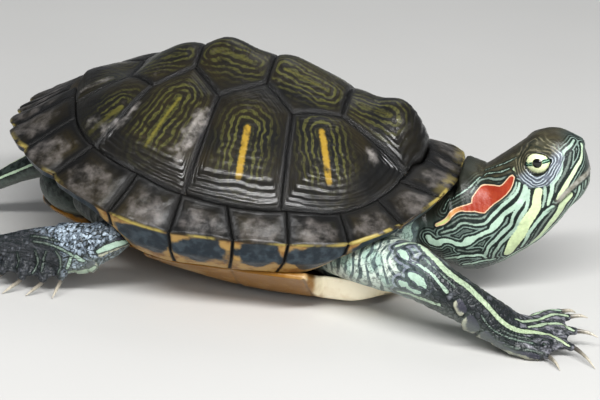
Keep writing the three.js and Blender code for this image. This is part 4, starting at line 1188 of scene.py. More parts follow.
# Each stripe: its pixels, its half-widths in millimetres from start to end, and how yellow it is at its two
# ends (1 yellow, 0 mint, -1 grey).
RED_TAIL = (
    [(474, 207), (467.2, 208.2), (461.2, 208.8), (455.8, 210.9), (451.6, 214.2), (448, 219), (443.2, 222.6),
     (437, 225)],
    (1.0, 0.75, 0.5, 0.5, 0.5, 0.42, 0.42, 0.3),
    (0, 1),
)
HEAD_STRIPES = [
    ([(517, 182.6), (513.9, 191.3), (506, 198.4), (495, 205), (489, 211), (484.5, 217.5), (476, 218.6),
     (462, 218), (455, 222), (447, 227)], (0.2, 0.24, 0.22, 0.25, 0.2, 0.18, 0.16, 0.16, 0.16, 0.12),
     (-0.2, -1)),
    ([(520.2, 183.4), (517.9, 191.3), (510.7, 199.2), (504, 204.6), (496, 212.4), (490, 219),
     (485.8, 223.2), (478, 225), (469.6, 223.8), (462.4, 223.2), (458.8, 225.6), (454, 229.2), (448, 231),
     (441, 233)], (0.26, 0.3, 0.34, 0.36, 0.36, 0.3, 0.26, 0.22, 0.22, 0.22, 0.22, 0.22, 0.2, 0.15),
     (0.0, -0.6)),
    ([(525.8, 185.7), (523.4, 195.2), (518.7, 203.1), (511.5, 209.4), (504.3, 214.5), (499.8, 220.8),
     (495.1, 225.9), (490, 231), (484, 233.6), (477.4, 236.9), (472, 239.5), (468.4, 241.1), (464.2, 244.4),
     (457, 243.8), (450.4, 241.4), (443.2, 240.8), (437, 243.5), (432, 241), (428.5, 237)], (0.36, 0.45,
     0.46, 0.52, 0.42, 0.7, 0.8, 0.45, 0.4, 0.42, 0.75, 0.95, 0.5, 0.5, 0.4, 0.6, 0.8, 0.85, 0.6),
     (0.1, 0.1)),
    ([(527.4, 187.6), (526.2, 197), (520, 206.4), (515.7, 212.4), (513.3, 217.8), (511.5, 225),
     (504.9, 231), (499, 237), (493, 243), (488.8, 247.7), (486.4, 253.1), (485.2, 258)],
     (0.25, 0.3, 0.36, 0.34, 0.3, 0.36, 0.46, 0.42, 0.36, 0.34, 0.3, 0.2), (-0.1, -0.4)),
    ([(529.7, 190.3), (528.9, 199.2), (527.4, 207), (522.3, 215), (519.3, 221), (516.3, 228),
     (512.1, 232.7), (506.7, 238.7), (501.9, 243), (498.4, 247.7), (494.8, 253.7), (493.6, 258)],
     (0.3, 0.34, 0.34, 0.38, 0.36, 0.34, 0.36, 0.4, 0.38, 0.34, 0.3, 0.2), (-0.1, -0.5)),
    ([(539.2, 191.3), (537.6, 199.2), (537, 207), (532.1, 215), (525, 225.3), (521, 233.2), (514.7, 242.7),
     (509.5, 252)], (0.85, 0.95, 1.05, 1.2, 1.35, 1.4, 1.4, 1.2), (0.75, 0.8)),
    ([(570.8, 195.6), (564.5, 202.6), (560.6, 211), (553.5, 220.5), (545.5, 230.8), (537.6, 238.7),
     (530, 245)], (0.8, 0.95, 0.85, 0.85, 0.75, 0.55, 0.3), (0.6, 0.5)),
    ([(582.7, 143.8), (583.1, 151.7), (581.1, 161.2), (576.4, 169.1), (570.8, 178.6), (566.1, 186.5),
     (561.4, 193.6), (558, 199)], (0.3, 0.32, 0.36, 0.42, 0.5, 0.55, 0.45, 0.3), (0.3, 0.75)),
    ([(574.8, 139.9), (570.8, 146.2), (564.5, 151.7), (562.9, 161.2), (561.4, 172.3), (557.4, 178.6),
     (553.5, 183.4), (552.7, 191.3), (550.3, 199.2), (548.8, 205)],
     (0.2, 0.32, 0.34, 0.3, 0.34, 0.42, 0.46, 0.42, 0.38, 0.25), (-0.4, 0.3)),
    ([(571.5, 152), (569.5, 163), (565, 174), (559, 184), (556, 192)], (0.15, 0.25, 0.25, 0.2, 0.12),
     (-1, -1)),
    ([(545.5, 186), (546.2, 191.3), (545.4, 199.2), (543.6, 207)], (0.25, 0.3, 0.3, 0.2), (-0.3, -0.3)),
    ([(580.7, 186), (579.6, 192.4), (574, 202.2), (570, 207.6), (563.4, 216.3), (554.7, 227)],
     (0.25, 0.3, 0.3, 0.26, 0.24, 0.15), (-0.2, -0.3)),
    ([(587, 180), (586, 187), (581.5, 198), (576, 206)], (0.2, 0.26, 0.24, 0.15), (-0.4, -0.6)),
    ([(553.5, 207.1), (545.5, 213.4), (540.8, 218.9), (535.3, 225.3), (529.7, 233.2), (527.4, 238.7),
     (522, 247)], (0.5, 0.5, 0.4, 0.42, 0.4, 0.36, 0.25), (0.05, -0.2)),
    ([(556.6, 206.5), (553.5, 211.8), (547.1, 219.5), (541.4, 227.5), (536.6, 235), (531, 243)],
     (0.22, 0.24, 0.24, 0.24, 0.22, 0.15), (-0.8, -0.8)),
    ([(509.7, 168.6), (501.9, 171.6), (493, 172.8), (486.4, 174), (480.4, 177.6), (475.6, 181.8),
     (470.8, 186.6), (466, 190.2), (461.2, 193.8), (454, 198), (448, 201.6), (443.8, 210)],
     (0.1, 0.12, 0.12, 0.12, 0.12, 0.13, 0.13, 0.12, 0.11, 0.11, 0.10, 0.10), (-0.45, -0.35)),
    ([(507.9, 176.4), (501.9, 178.8), (496, 179.4), (488.8, 178.2), (482.8, 179.4), (479.2, 181.8),
     (474.4, 187.8), (471, 193)], (0.12, 0.22, 0.28, 0.24, 0.2, 0.16, 0.14, 0.1), (-0.7, -0.7)),
    ([(445.6, 257.9), (460, 256.7), (472, 255.5), (482.8, 255.5), (487, 258)], (0.3, 0.32, 0.3, 0.3, 0.2),
     (0.1, 0)),
    ([(455, 266.5), (464, 264.5), (475, 262.5), (486, 260.5), (496, 259)], (0.3, 0.3, 0.28, 0.28, 0.2),
     (0, 0)),
    ([(458, 249.6), (466, 251.5), (474, 251), (480, 250.4)], (0.16, 0.2, 0.2, 0.15), (-0.8, -0.8)),
    ([(528, 152), (518, 157), (508, 162), (497, 166), (486, 170)], (0.1, 0.12, 0.12, 0.1, 0.08),
     (-0.6, -0.3)),
    ([(553.4, 145), (555, 148.5), (555.4, 152)], (0.35, 0.42, 0.3), (0.5, 0.5)),
    ([(515, 168.6), (518, 170.5), (521, 171.5)], (0.4, 0.45, 0.3), (0.5, 0.5)),
]
FORELEG_STRIPES = [
    ([(396, 246.5), (402.4, 244.6), (416.4, 243.9), (426.2, 250.2), (436, 260), (447.2, 271.2),
     (458.4, 279.6), (469.6, 288), (478, 296.4), (487, 305), (496.4, 315.6), (503.4, 322.6), (515.2, 329.6),
     (526.9, 332), (538.6, 333.2), (549, 334.7), (555, 337), (560.5, 340.2), (566, 344), (571, 347)], (0.25,
     0.45, 0.6, 0.75, 0.8, 0.75, 0.75, 0.75, 0.65, 0.55, 0.5, 0.5, 0.5, 0.5, 0.42, 0.38, 0.33, 0.28, 0.22,
     0.14), (0.3, 0.6)),
    ([(408, 260), (422, 267), (431.8, 274), (440.2, 283.8), (447.2, 292.2)], (0.14, 0.2, 0.24, 0.28, 0.4),
     (0, 0.2)),
    ([(400, 251.5), (404, 254.5), (407.5, 257.5)], (0.5, 0.75, 0.45), (0, 0)),
    ([(410.5, 274.5), (415.5, 277.5), (421, 282), (425, 286.5)], (0.45, 0.9, 0.95, 0.5), (0, 0)),
    ([(400.5, 282), (403, 284), (406.5, 285)], (0.5, 0.7, 0.45), (0, 0)),
    ([(408, 288), (414, 291), (420, 292.5)], (0.35, 0.55, 0.35), (-0.1, -0.1)),
    ([(398, 291), (410, 294.5), (422, 299), (440.2, 305)], (0.25, 0.35, 0.4, 0.3), (0.3, 0.3)),
    ([(424, 258), (434, 267.5), (446, 278.5), (456, 288)], (0.1, 0.16, 0.16, 0.08), (-0.5, -0.5)),
    ([(516, 319.5), (524, 322), (534, 321), (545, 318), (555, 314.8), (562.5, 315), (569.5, 316.4)],
     (0.15, 0.3, 0.36, 0.36, 0.36, 0.3, 0.16), (0.4, 0.4)),
    ([(531, 316), (540, 312.8), (549, 310), (556, 310.2), (562, 311)], (0.2, 0.34, 0.36, 0.3, 0.2),
     (0.4, 0.2)),
    ([(529, 327.5), (540, 326), (552, 325), (562, 325.2), (569.5, 328.4), (575.5, 331.5)],
     (0.2, 0.4, 0.42, 0.4, 0.32, 0.16), (0.4, 0.4)),
    ([(482, 316), (490, 327), (502, 335), (516, 340), (532, 343.5), (546, 345)],
     (0.1, 0.14, 0.14, 0.14, 0.12, 0.08), (-0.6, -0.5)),
    ([(500, 329), (512, 335), (527, 338.5), (545, 340), (560, 343)], (0.08, 0.12, 0.12, 0.1, 0.06),
     (-0.8, -0.8)),
    ([(505, 344.5), (518, 348.5), (532, 351), (545, 354)], (0.1, 0.14, 0.14, 0.1), (-0.8, -0.9)),
]
HINDLEG_STRIPES = [
    ([(126, 240), (117, 242.8), (107, 246.5), (98, 250.5)], (0.3, 0.5, 0.55, 0.35), (0, 0)),
    ([(70, 271.5), (79, 271), (89, 268), (95, 264)], (0.4, 0.75, 0.5, 0.25), (0.3, 0.3)),
    ([(76.5, 256), (80.5, 259.5), (84.5, 260.5)], (0.35, 0.5, 0.3), (0, 0)),
    ([(71, 258), (69.5, 263), (67.5, 268)], (0.24, 0.32, 0.22), (0, 0)),
    ([(34, 241), (48, 243.5), (60, 248), (71, 254), (77, 258)], (0.14, 0.2, 0.22, 0.22, 0.2), (-0.9, -0.2)),
    ([(32, 236), (46, 237.5), (58, 241)], (0.1, 0.16, 0.1), (-0.9, -0.9)),
    ([(56, 250), (60.5, 257), (61.5, 265), (58.5, 274), (56, 279)], (0.12, 0.18, 0.20, 0.18, 0.12),
     (-0.75, -0.75)),
    ([(36, 250), (38.6, 258), (38, 266), (33.5, 273), (28, 277)], (0.12, 0.18, 0.20, 0.18, 0.12),
     (-0.75, -0.75)),
    ([(47, 251), (44.5, 258), (43.5, 265), (42, 272)], (0.1, 0.16, 0.16, 0.1), (-0.9, -0.9)),
    ([(18, 252), (20, 260), (18, 268), (12, 275)], (0.1, 0.16, 0.16, 0.1), (-0.9, -0.9)),
]
# Big scales along the limb's edge: centre pixel, half-length and half-height in millimetres, and slope in the
# photo in degrees.
FORELEG_PLATES = [((460.8, 306.5), 2.0, 1.25, 58), ((472, 324), 2.4, 1.55, 58), ((487, 338.5), 2.2, 1.6, 45),
                  ((503, 347), 2.4, 1.3, 28), ((519, 352.5), 2.2, 1.1, 18), ((534, 356.5), 1.9, 0.9, 16)]
HINDLEG_PLATES = [((121, 241), 1.5, 1.1, -20), ((112, 245), 1.6, 1.1, -22), ((102, 249.5), 1.5, 1.1, -25),
                  ((92, 264), 1.4, 1.0, -35), ((83, 271), 1.5, 1.0, -25), ((73, 274.5), 1.4, 1.0, -12)]


def refined(path, steps=4):
    return curve_points(path, np.linspace(0, 1, (len(path) - 1) * steps + 1))


class Stripe:
    """A painted line: its path, the half-widths spread evenly along it, and the yellowness at its ends."""

    def __init__(self, path, widths, yellow):
        self.path = path
        place = np.linspace(0, 1, len(path))
        self.widths = np.interp(place, np.linspace(0, 1, len(widths)), widths)
        self.yellow = lerp(yellow[0], yellow[1], place)
        self.ends = (widths, yellow)

    def mirrored(self):
        return Stripe(self.path * [1, -1, 1], *self.ends)


def photo_stripes(tree, rows):
    stripes = []
    for pixels, widths, yellow in rows:
        hits = on_surface(tree, pixels)
        if len(hits) > 1:
            stripes.append(Stripe(refined(hits), widths, yellow))
    return stripes


def stripe_fields(points, stripes, reach=3.0):
    """Distance to the nearest stripe's edge, below 0 inside it, and the stripe's yellowness there."""
    best = np.full(len(points), reach)
    yellow = np.zeros(len(points))
    for stripe in stripes:
        low, high = stripe.path.min(0) - reach, stripe.path.max(0) + reach
        near = np.flatnonzero(((points > low) & (points < high)).all(1))
        for k in range(len(stripe.path) - 1):
            a, b = stripe.path[k], stripe.path[k + 1]
            span = b - a
            t = np.clip((points[near] - a) @ span / max(span @ span, 1e-9), 0, 1)
            d = np.linalg.norm(points[near] - a - t[:, None] * span, axis=1)
            d = d - lerp(stripe.widths[k], stripe.widths[k + 1], t)
            closer = d < best[near]
            best[near] = np.where(closer, d, best[near])
            yellow[near] = np.where(closer, lerp(stripe.yellow[k], stripe.yellow[k + 1], t), yellow[near])
    return best, yellow


def polygon_distance(x, z, corners):
    """Distance to a polygon's edge, below 0 inside."""
    best = np.full(len(x), 99.0)
    inside = np.zeros(len(x), bool)
    for a, b in zip(corners, np.roll(corners, -1, axis=0)):
        best = np.minimum(best, segment_distance(x, z, a, b))
        crosses = (a[1] > z) != (b[1] > z)
        inside ^= crosses & (x < (b[0] - a[0]) * (z - a[1]) / (b[1] - a[1] + 1e-12) + a[0])
    return np.where(inside, -best, best)


# -----------------------------------------------------------------------------
# The skin
# -----------------------------------------------------------------------------

LID_WRINKLE = 0.66                          # spacing of the lids' folds
LID_RADIUS = 4.3
LID_CENTRE = np.array([13.3, 3.6, 6.2])
MOUTH_LINE = [(23.4, -1.2), (22.4, -2.6), (21.2, -3.2), (18, -3.3), (14.3, -3.9), (11.5, -4.6), (9.4, -4.5)]
NOSTRIL = np.array([23.0, 1.15, 4.0])
EARDRUM = (4.0, -1.2)
LID_CORNERS = (0.55, 0.35)                  # how far the eye's opening runs out at the front and the back
LID_OVERHANG = 0.22                         # how far the upper lid closes it
LID_WRINKLE_HEIGHT = 0.085
LID_EDGE_HEIGHT = 0.20
MOUTH_DEPTH = 0.42
LOWER_JAW_STEP = 0.30                       # how far the lower jaw lies in from the upper one
LIP_HEIGHT = 0.12
NOSTRIL_DEPTH = 0.45
NOSTRIL_RIM = 0.08
DRUM_HEIGHT = 0.28
DRUM_RIM_DEPTH = 0.10
HEAD_GRAIN = 0.035
HEAD_UNEVENNESS = 0.05


LIMB_SEARCH = 12.0                          # how far from a limb's middle its points may lie


def limb_samples(count=70):
    """Points along every limb's middle: the fractions of its length, its axes and its half-sizes."""
    t = np.linspace(0.15, 1, count)
    return [(t, *limb_frames(stations, t)) for stations in LIMBS.values()]


def limb_coordinates(points):
    """For each point, how near it is to a limb (0 on its axis, 1 at its surface) and how far along it."""
    near = np.full(len(points), 99.0)
    fraction = np.zeros(len(points))
    for t, centre, across, up, high, wide in limb_samples():
        low, upper = centre.min(0) - LIMB_SEARCH, centre.max(0) + LIMB_SEARCH
        chosen = np.flatnonzero(((points > low) & (points < upper)).all(1))
        p = points[chosen]
        k = np.linalg.norm(p[:, None] - centre[None], axis=2).argmin(1)
        offset = p - centre[k]
        u = (offset * across[k]).sum(1) / wide[k, 0]
        v = (offset * up[k]).sum(1) / high[k, 0]
        close = np.hypot(u, v)
        nearer = close < near[chosen]
        fraction[chosen] = np.where(nearer, t[k], fraction[chosen])
        near[chosen] = np.where(nearer, close, near[chosen])
    return near, fraction


def other_side(stripes, source, target):
    """Stripes of one limb carried to its opposite one, at the same place along it and the mirrored angle."""
    t = np.linspace(0, 1, 200)
    centre, across, up, high, wide = limb_frames(source, t)
    far = limb_frames(target, t)
    carried = []
    for stripe in stripes:
        k = np.linalg.norm(stripe.path[:, None] - centre[None], axis=2).argmin(1)
        keep = k < len(t) - 2
        if keep.sum() < 3:
            continue
        offset = (stripe.path - centre[k])[keep]
        k = k[keep]
        u = -(offset * across[k]).sum(1, keepdims=True) / wide[k]
        v = (offset * up[k]).sum(1, keepdims=True) / high[k]
        path = far[0][k] + far[1][k] * far[4][k] * u + far[2][k] * far[3][k] * v
        carried.append(Stripe(path, *stripe.ends))
    return carried


def limb_lines(stations, rows):
    """Stripes along a limb at given angles: rows of (angle in degrees, from, to, half-width, yellow)."""
    lines = []
    for degrees, start, end, width, yellow in rows:
        t = np.linspace(start, end, 16)
        centre, across, up, high, wide = limb_frames(stations, t)
        turn = math.radians(degrees) + 0.12 * np.sin(t * 9 + degrees)[:, None]
        path = centre + across * wide * np.cos(turn) + up * high * np.sin(turn)
        lines.append(Stripe(path, (width, width * 0.7), (yellow, yellow)))
    return lines


# Lines along a limb: angle in degrees, from, to, half-width, yellowness.
HIND_LINES = [(80, 0.35, 0.95, 0.3, 0.2), (150, 0.3, 0.9, 0.35, 0.1), (35, 0.3, 0.9, 0.25, 0.3)]
TAIL_LINES = [(90, 0.1, 0.97, 0.55, 0.6), (20, 0.1, 0.9, 0.3, 0.3), (160, 0.1, 0.9, 0.3, 0.3)]


TOE_STRIPE = ((0.2, 0.14), (0.35, 0.35))    # half-widths and yellowness


def toe_lines(shape):
    lines = []
    normal = np.array(shape["sole"], float)
    for root, tip, _, thick in shape["toes"]:
        path = np.array([p[:3] for p in toe_stations(root, tip, thick)]) + normal * thick
        lines.append(Stripe(refined(path), *TOE_STRIPE))
    return lines


# Loose skin that closes the shell's openings: centre and half-axes.
CHEST_SKIN = ((33.0, 0.0, 10.5), (11.5, 24.5, 6.0))
ARMPIT_SKIN = ((30.5, 13.2, 10.6), (13.5, 8.6, 5.8))
GROIN_SKIN = ((-31.0, 0.0, 19.0), (15.0, 20.0, 8.2))
FLANK_SKIN = ((-33.5, 10.5, 17.8), (11.5, 8.6, 7.4))
TAIL_TIP_RADIUS = 0.72


def front_flesh():
    bodies = [head(), neck(), limb(TRUNK, 0.5, 1.0, sides=60), ball(CHEST_SKIN[0], 1.0, CHEST_SKIN[1])]
    for side in (1, -1):
        centre = LID_CENTRE * [1, side, 1]
        bodies.append(ball(from_head(centre), LID_RADIUS, rings=36))
        bodies.append(ball(np.array(ARMPIT_SKIN[0]) * [1, side, 1], 1.0, ARMPIT_SKIN[1]))
    for name in ("right", "left"):
        bodies.append(limb(LIMBS["foreleg_" + name], rings=70, sides=56))
        bodies += foot(FEET["forefoot_" + name])
    return bodies


def rear_flesh():
    bodies = [limb(TRUNK, 0.0, 0.45, sides=60), ball(GROIN_SKIN[0], 1.0, GROIN_SKIN[1]),
              limb(TAIL, rings=70, sides=32), ball(TAIL[-1][:3], TAIL_TIP_RADIUS, rings=10)]
    for name, side in (("right", -1), ("left", 1)):
        bodies.append(ball(np.array(FLANK_SKIN[0]) * [1, side, 1], 1.0, FLANK_SKIN[1]))
        bodies.append(limb(LIMBS["hindleg_" + name], rings=60, sides=56))
        bodies += foot(FEET["hindfoot_" + name])
    return bodies


def eye_gap(q):
    """Distance outside the lids' opening, which is round with a short corner at the front and the back."""
    x, z = q[:, 0] - EYE_CENTRE[0], q[:, 2] - EYE_CENTRE[2]
    turn = np.degrees(np.arctan2(z, x))
    front, back = LID_CORNERS
    corners = front * bump(turn, -20, 15) + back * np.maximum(bump(turn, 165, 14), bump(turn, -195, 14))
    return np.hypot(x, z) - EYE_OPENING - corners + LID_OVERHANG * bump(turn, 48, 26)


def lid_folds(q, gap):
    return gap - 0.2 + 0.6 * noise(q, 3.0, 4) + 0.2 * noise(q, 1.1, 5)


def lid_relief(q, gap):
    """Fine folds round the eye, and the thick edge of the lids."""
    wrinkles = np.cos(lid_folds(q, gap) * 2 * math.pi / LID_WRINKLE) * smooth(-0.5, 0.5, noise(q, 2.6, 12))
    wrinkles = LID_WRINKLE_HEIGHT * wrinkles * smooth(0.15, 0.4, gap) * (1 - smooth(2.0, 3.4, gap))
    return wrinkles + LID_EDGE_HEIGHT * bump(gap, 0.22, 0.24)


def head_relief(q):
    """Relief of the head in its own frame, the painted shade of its mouth line and nostrils, the lids' gap
    and the mouth's height.
    """
    x, y, z = q.T
    side = np.abs(y)
    on_head = smooth(-2.5, 0.5, x)
    gap = eye_gap(q)
    lid_zone = smooth(2.2, 4.0, side) * on_head
    height = lid_relief(q, gap) * lid_zone
    mouth = path_distance(x, z, MOUTH_LINE)
    mouth_z = np.interp(x, *np.array(MOUTH_LINE[::-1]).T)
    in_mouth = smooth(8.6, 10.5, x)
    below = smooth(0, 0.5, mouth_z - z) * (1 - smooth(2.2, 4.0, mouth_z - z)) * in_mouth
    height = height - MOUTH_DEPTH * bump(mouth, 0, 0.26) * in_mouth
    height = height - LOWER_JAW_STEP * below * smooth(9, 14, x)
    height = height + LIP_HEIGHT * bump(z - mouth_z, 0.7, 0.5) * smooth(14, 18, x)
    nostril = np.linalg.norm(np.stack([x, side, z], 1) - NOSTRIL, axis=1)
    height = height - NOSTRIL_DEPTH * bump(nostril, 0, 0.42) + NOSTRIL_RIM * bump(nostril, 0.75, 0.3)
    drum = np.hypot(x - EARDRUM[0], z - EARDRUM[1])
    drum_height = DRUM_HEIGHT * (1 - smooth(2.0, 3.4, drum)) - DRUM_RIM_DEPTH * bump(drum, 3.5, 0.5)
    height = height + drum_height * smooth(4, 6, side)
    height = height + HEAD_GRAIN * noise(q, 0.8, 8) + HEAD_UNEVENNESS * noise(q, 2.2, 9)
    # Painted shade: darker along the mouth's groove and in the nostrils.
    crease_shade = np.maximum(bump(mouth, 0, 0.24) * in_mouth, bump(nostril, 0, 0.4))
    return height * on_head, crease_shade * on_head, np.where(lid_zone > 0.1, gap, 9.0), mouth_z


EYE_SOCKET_DEPTH = 0.75                     # how far the skin lies behind the eyeball's front


def sink_eyes(points):
    """Skin at the lids' opening is drawn onto its edge, and the skin inside goes down behind the eyeball."""
    q = to_head(points)
    gap = eye_gap(q)
    x, z = q[:, 0] - EYE_CENTRE[0], q[:, 2] - EYE_CENTRE[2]
    off = np.maximum(np.hypot(x, z), 1e-6)
    outer = np.abs(q[:, 1]) > 2.5
    edge = (np.abs(gap) < 0.5 * VOXEL) & outer
    q[:, 0] = np.where(edge, q[:, 0] - gap * x / off, q[:, 0])
    q[:, 2] = np.where(edge, q[:, 2] - gap * z / off, q[:, 2])
    inside = (gap < -0.5 * VOXEL) & outer
    behind = EYE_CENTRE[1] + np.sqrt(np.maximum(EYE_RADIUS ** 2 - off ** 2, 0)) - EYE_SOCKET_DEPTH
    side = np.abs(q[:, 1])
    q[:, 1] = np.sign(q[:, 1]) * np.where(inside, np.minimum(side, behind), side)
    return from_head(q)


NECK_FOLD = (0.22, 3.1)                     # height and spacing
NECK_FINE_FOLD = (0.08, 1.25)
LIMB_FOLD = (0.16, 3.0)


def neck_folds(points):
    """Soft cross folds of the neck, coarse and fine."""
    x, y, z = points.T
    zone = smooth(36, 42, x) * (1 - smooth(60, 66, x)) * (1 - smooth(11, 15, np.abs(y)))
    turn = x + 0.25 * z + 0.8 * noise(points, 6, 3)
    coarse = NECK_FOLD[0] * np.sin(turn * 2 * math.pi / NECK_FOLD[1]) * smooth(-0.4, 0.5, noise(points, 5, 6))
    sway = 1.5 * noise(points, 3, 7)
    return zone * (coarse + NECK_FINE_FOLD[0] * np.sin(turn * 2 * math.pi / NECK_FINE_FOLD[1] + sway))


PLATE_WRAP = 4.5                            # how deep a big scale reaches round the limb's edge


def plate_relief(points, plates):
    """Big overlapping scales with a raised free edge: relief, and distance to an edge and to a free rim."""
    height = np.zeros(len(points))
    edge = np.full(len(points), 3.0)
    rim = np.full(len(points), 3.0)
    for centre, long_axis, short_axis, half_long, half_short in plates:
        offset = points - centre
        u = offset @ long_axis / half_long
        v = offset @ short_axis / half_short
        w = offset @ np.cross(long_axis, short_axis) / PLATE_WRAP
        radius = (np.abs(u) ** 4 + np.abs(v) ** 4 + np.abs(w) ** 4) ** (1 / 4)
        lift = (0.55 + 0.55 * np.maximum(v, -0.4)) * (1 - smooth(0.86, 1.0, radius))
        height = np.maximum(height, lift)
        edge = np.minimum(edge, (radius - 0.92) * half_short)
        rim = np.minimum(rim, np.abs(radius - 0.88) * half_short + 3 * smooth(0.1, -0.3, v))
    return height, edge, rim


def photo_plates(tree, rows):
    _, right, up = camera_axes()
    plates = []
    for pixel, half_long, half_short, degrees in rows:
        hits = on_surface(tree, [pixel])
        if len(hits):
            c, s = math.cos(math.radians(degrees)), math.sin(math.radians(degrees))
            plates.append((hits[0], right * c - up * s, -right * s - up * c, half_long, half_short))
    return plates


def tree_of(body):
    return BVHTree.FromPolygons([tuple(p) for p in body.points], body.all_triangles().tolist())


FOOT_REACH = (7.5, 11)                      # where a foot's colours start and end to fade, from its middle


def foot_part(points):
    """1 on the feet, 0 on the legs."""
    zone = np.zeros(len(points))
    for shape in FEET.values():
        centre = np.mean([p[:3] for p in shape["palm"]], axis=0)
        tips = np.mean([toe[1] for toe in shape["toes"]], axis=0)
        distance = np.linalg.norm(points - lerp(centre, tips, 0.6), axis=1)
        zone = np.maximum(zone, 1 - smooth(*FOOT_REACH, distance))
    return zone


MARBLE_BAND = 2.3                           # width of a band


def marble_bands(points):
    """Place across the curving bands of the armpits and upper arms, in bands."""
    x, y, z = points.T
    arm = x + 0.30 * z + 0.25 * np.abs(y) + 3.4 * noise(points, 6.5, 31) + 0.9 * noise(points, 2.2, 33)
    return arm / MARBLE_BAND


def skin_zones(points, q):
    """Masks of the skin's regions, and how far along a limb each point lies."""
    near, fraction = limb_coordinates(points)
    side = np.abs(points[:, 1])
    limb_mask = 1 - smooth(1.15, 1.6, near)
    return SimpleNamespace(
        front=points[:, 0] > 0, fraction=fraction, foot=foot_part(points),
        limb=limb_mask, lower=limb_mask * smooth(0.36, 0.52, fraction),
        neck=smooth(36, 42, points[:, 0]) * (1 - smooth(10.5, 13.5, side)),
        head=smooth(-2.5, 0.5, q[:, 0]) * (side < 12) * (points[:, 0] > 50))


SMALL_SCALE = 1.0                           # size of the scales on the body
FORELEG_SCALE = 1.9
HINDLEG_SCALE = 0.9
TOE_STRIPE_HEIGHT = 0.38


def scale_pattern(points, zone):
    """Scales, small on the body and large on the lower limbs: distance to their border, tone and height."""
    border, tone = cells(points, SMALL_SCALE)
    border_large, tone_large = cells(points, np.where(points[:, :1] > 0, FORELEG_SCALE, HINDLEG_SCALE))
    small = (smooth(0, 0.34, border) - 0.6) * lerp(0.12, 0.05, zone.neck)
    large = (smooth(0, 0.32, border_large) - 0.6) * lerp(0.26, 0.10, zone.foot)
    pairs = ((border, border_large), (tone, tone_large), (small, large))
    return [lerp(a, b, zone.lower) for a, b in pairs]


def limb_folds(points, zone):
    """Cross folds at the roots of the limbs."""
    turn = zone.fraction * 30 + 1.2 * noise(points, 4, 2)
    folds = LIMB_FOLD[0] * np.sin(turn * 2 * math.pi / LIMB_FOLD[1])
    return folds * zone.limb * (1 - smooth(0.3, 0.6, zone.fraction))


def red_distance(points, outline):
    """Distance to the edge of the red patch behind the eye, on both sides of the head; below 0 inside it."""
    if not len(outline):
        return np.full(len(points), 9.0)
    distance = polygon_distance(points[:, 0], points[:, 2], outline)
    return np.where(np.abs(points[:, 1]) > 3, np.minimum(distance, 9), 9.0)


def head_fields(q, zone, lid_gap, mouth_z, up, points):
    """Colour values of the head and neck: lids, horny jaw, crown, and the neck's dark top with painted shade.
    """
    level = q[:, 2] - mouth_z
    horn = smooth(11, 14, q[:, 0]) * smooth(0.0, 0.3, level) * (1 - smooth(1.2, 1.7, level))
    # Skin facing up is the neck's dark top; skin high under the shell's front edge gets painted shade.
    above = np.maximum(smooth(0.1, 0.6, up), smooth(24, 27.5, points[:, 2]))
    return {
        "lid": lid_gap, "lid_level": q[:, 2] - EYE_CENTRE[2], "lid_fold": lid_folds(q, lid_gap),
        "horn": zone.head * horn * (1 - 0.6 * smooth(20.5, 22.5, q[:, 0])),
        "crown": zone.head * smooth(5.0, 8.0, q[:, 2]) * (1 - smooth(19, 22, q[:, 0])),
        "nape_and_shade": above * zone.neck * (1 - zone.head), "neck": np.maximum(zone.neck, zone.head),
    }


def dress(body, stripes, red_outline, red_tail, plates):
    """Relief and markings of one fused body of flesh."""
    points, normals = body.points, body_normals(body)
    q = to_head(points)
    zone = skin_zones(points, q)
    head_height, crease_shade, lid_gap, mouth_z = head_relief(q)
    border, tone, scales = scale_pattern(points, zone)
    plate_height, plate_edge, plate_rim = plate_relief(points, plates)
    pale, yellow = stripe_fields(points, stripes)
    rough = 1 - zone.head
    height = head_height * (zone.head > 0) + rough * scales + neck_folds(points) * rough
    height = np.maximum(height + limb_folds(points, zone) * rough, plate_height)
    height = height + TOE_STRIPE_HEIGHT * smooth(0.55, -0.1, pale) * zone.foot * ~zone.front
    body.points = sink_eyes(points + normals * height[:, None])
    body.points[:, 2] = np.maximum(body.points[:, 2], 0)
    tail, tail_place = stripe_fields(points, red_tail)
    trunk = (1 - zone.neck) * (1 - zone.head) * (1 - zone.lower) * (1 - zone.foot)
    shank = zone.limb * smooth(0.36, 0.5, zone.fraction) * (1 - zone.foot)
    body.fields = {
        "pale": pale, "yellow": yellow, "red": red_distance(points, red_outline), "tail": tail,
        "tail_place": tail_place, "crease_shade": crease_shade * (zone.head > 0), "border": border, "tone": tone,
        "foot": zone.foot, "lower": zone.lower, "hind": ~zone.front * shank, "rear": ~zone.front * 1.0,
        "plate": plate_edge, "plate_rim": plate_rim, "belly": smooth(0.1, -0.7, normals[:, 2]),
        "marble": zone.front * trunk, "bands": marble_bands(points),
        **head_fields(q, zone, lid_gap, mouth_z, normals[:, 2], points),
    }
    return body


SKIN_ROUNDS = 6
SKIN_WEIGHT = 0.5
SHOULDER_ROUNDS = 40
SHOULDER_WEIGHT = 0.55


def smoothed(body):
    """The fused flesh with its steps smoothed away, least on the head and most in the armpits."""
    q = to_head(body.points)
    side = np.abs(body.points[:, 1])
    on_head = smooth(-1, 3, q[:, 0]) * (body.points[:, 0] > 55) * (side < 12)
    relaxed(body, SKIN_ROUNDS, SKIN_WEIGHT * (1 - 0.6 * on_head))
    side = np.abs(body.points[:, 1])
    shoulder = (1 - smooth(28, 33, side)) * (1 - on_head) * (body.points[:, 2] > 6)
    return relaxed(body, SHOULDER_ROUNDS, SHOULDER_WEIGHT * shoulder)


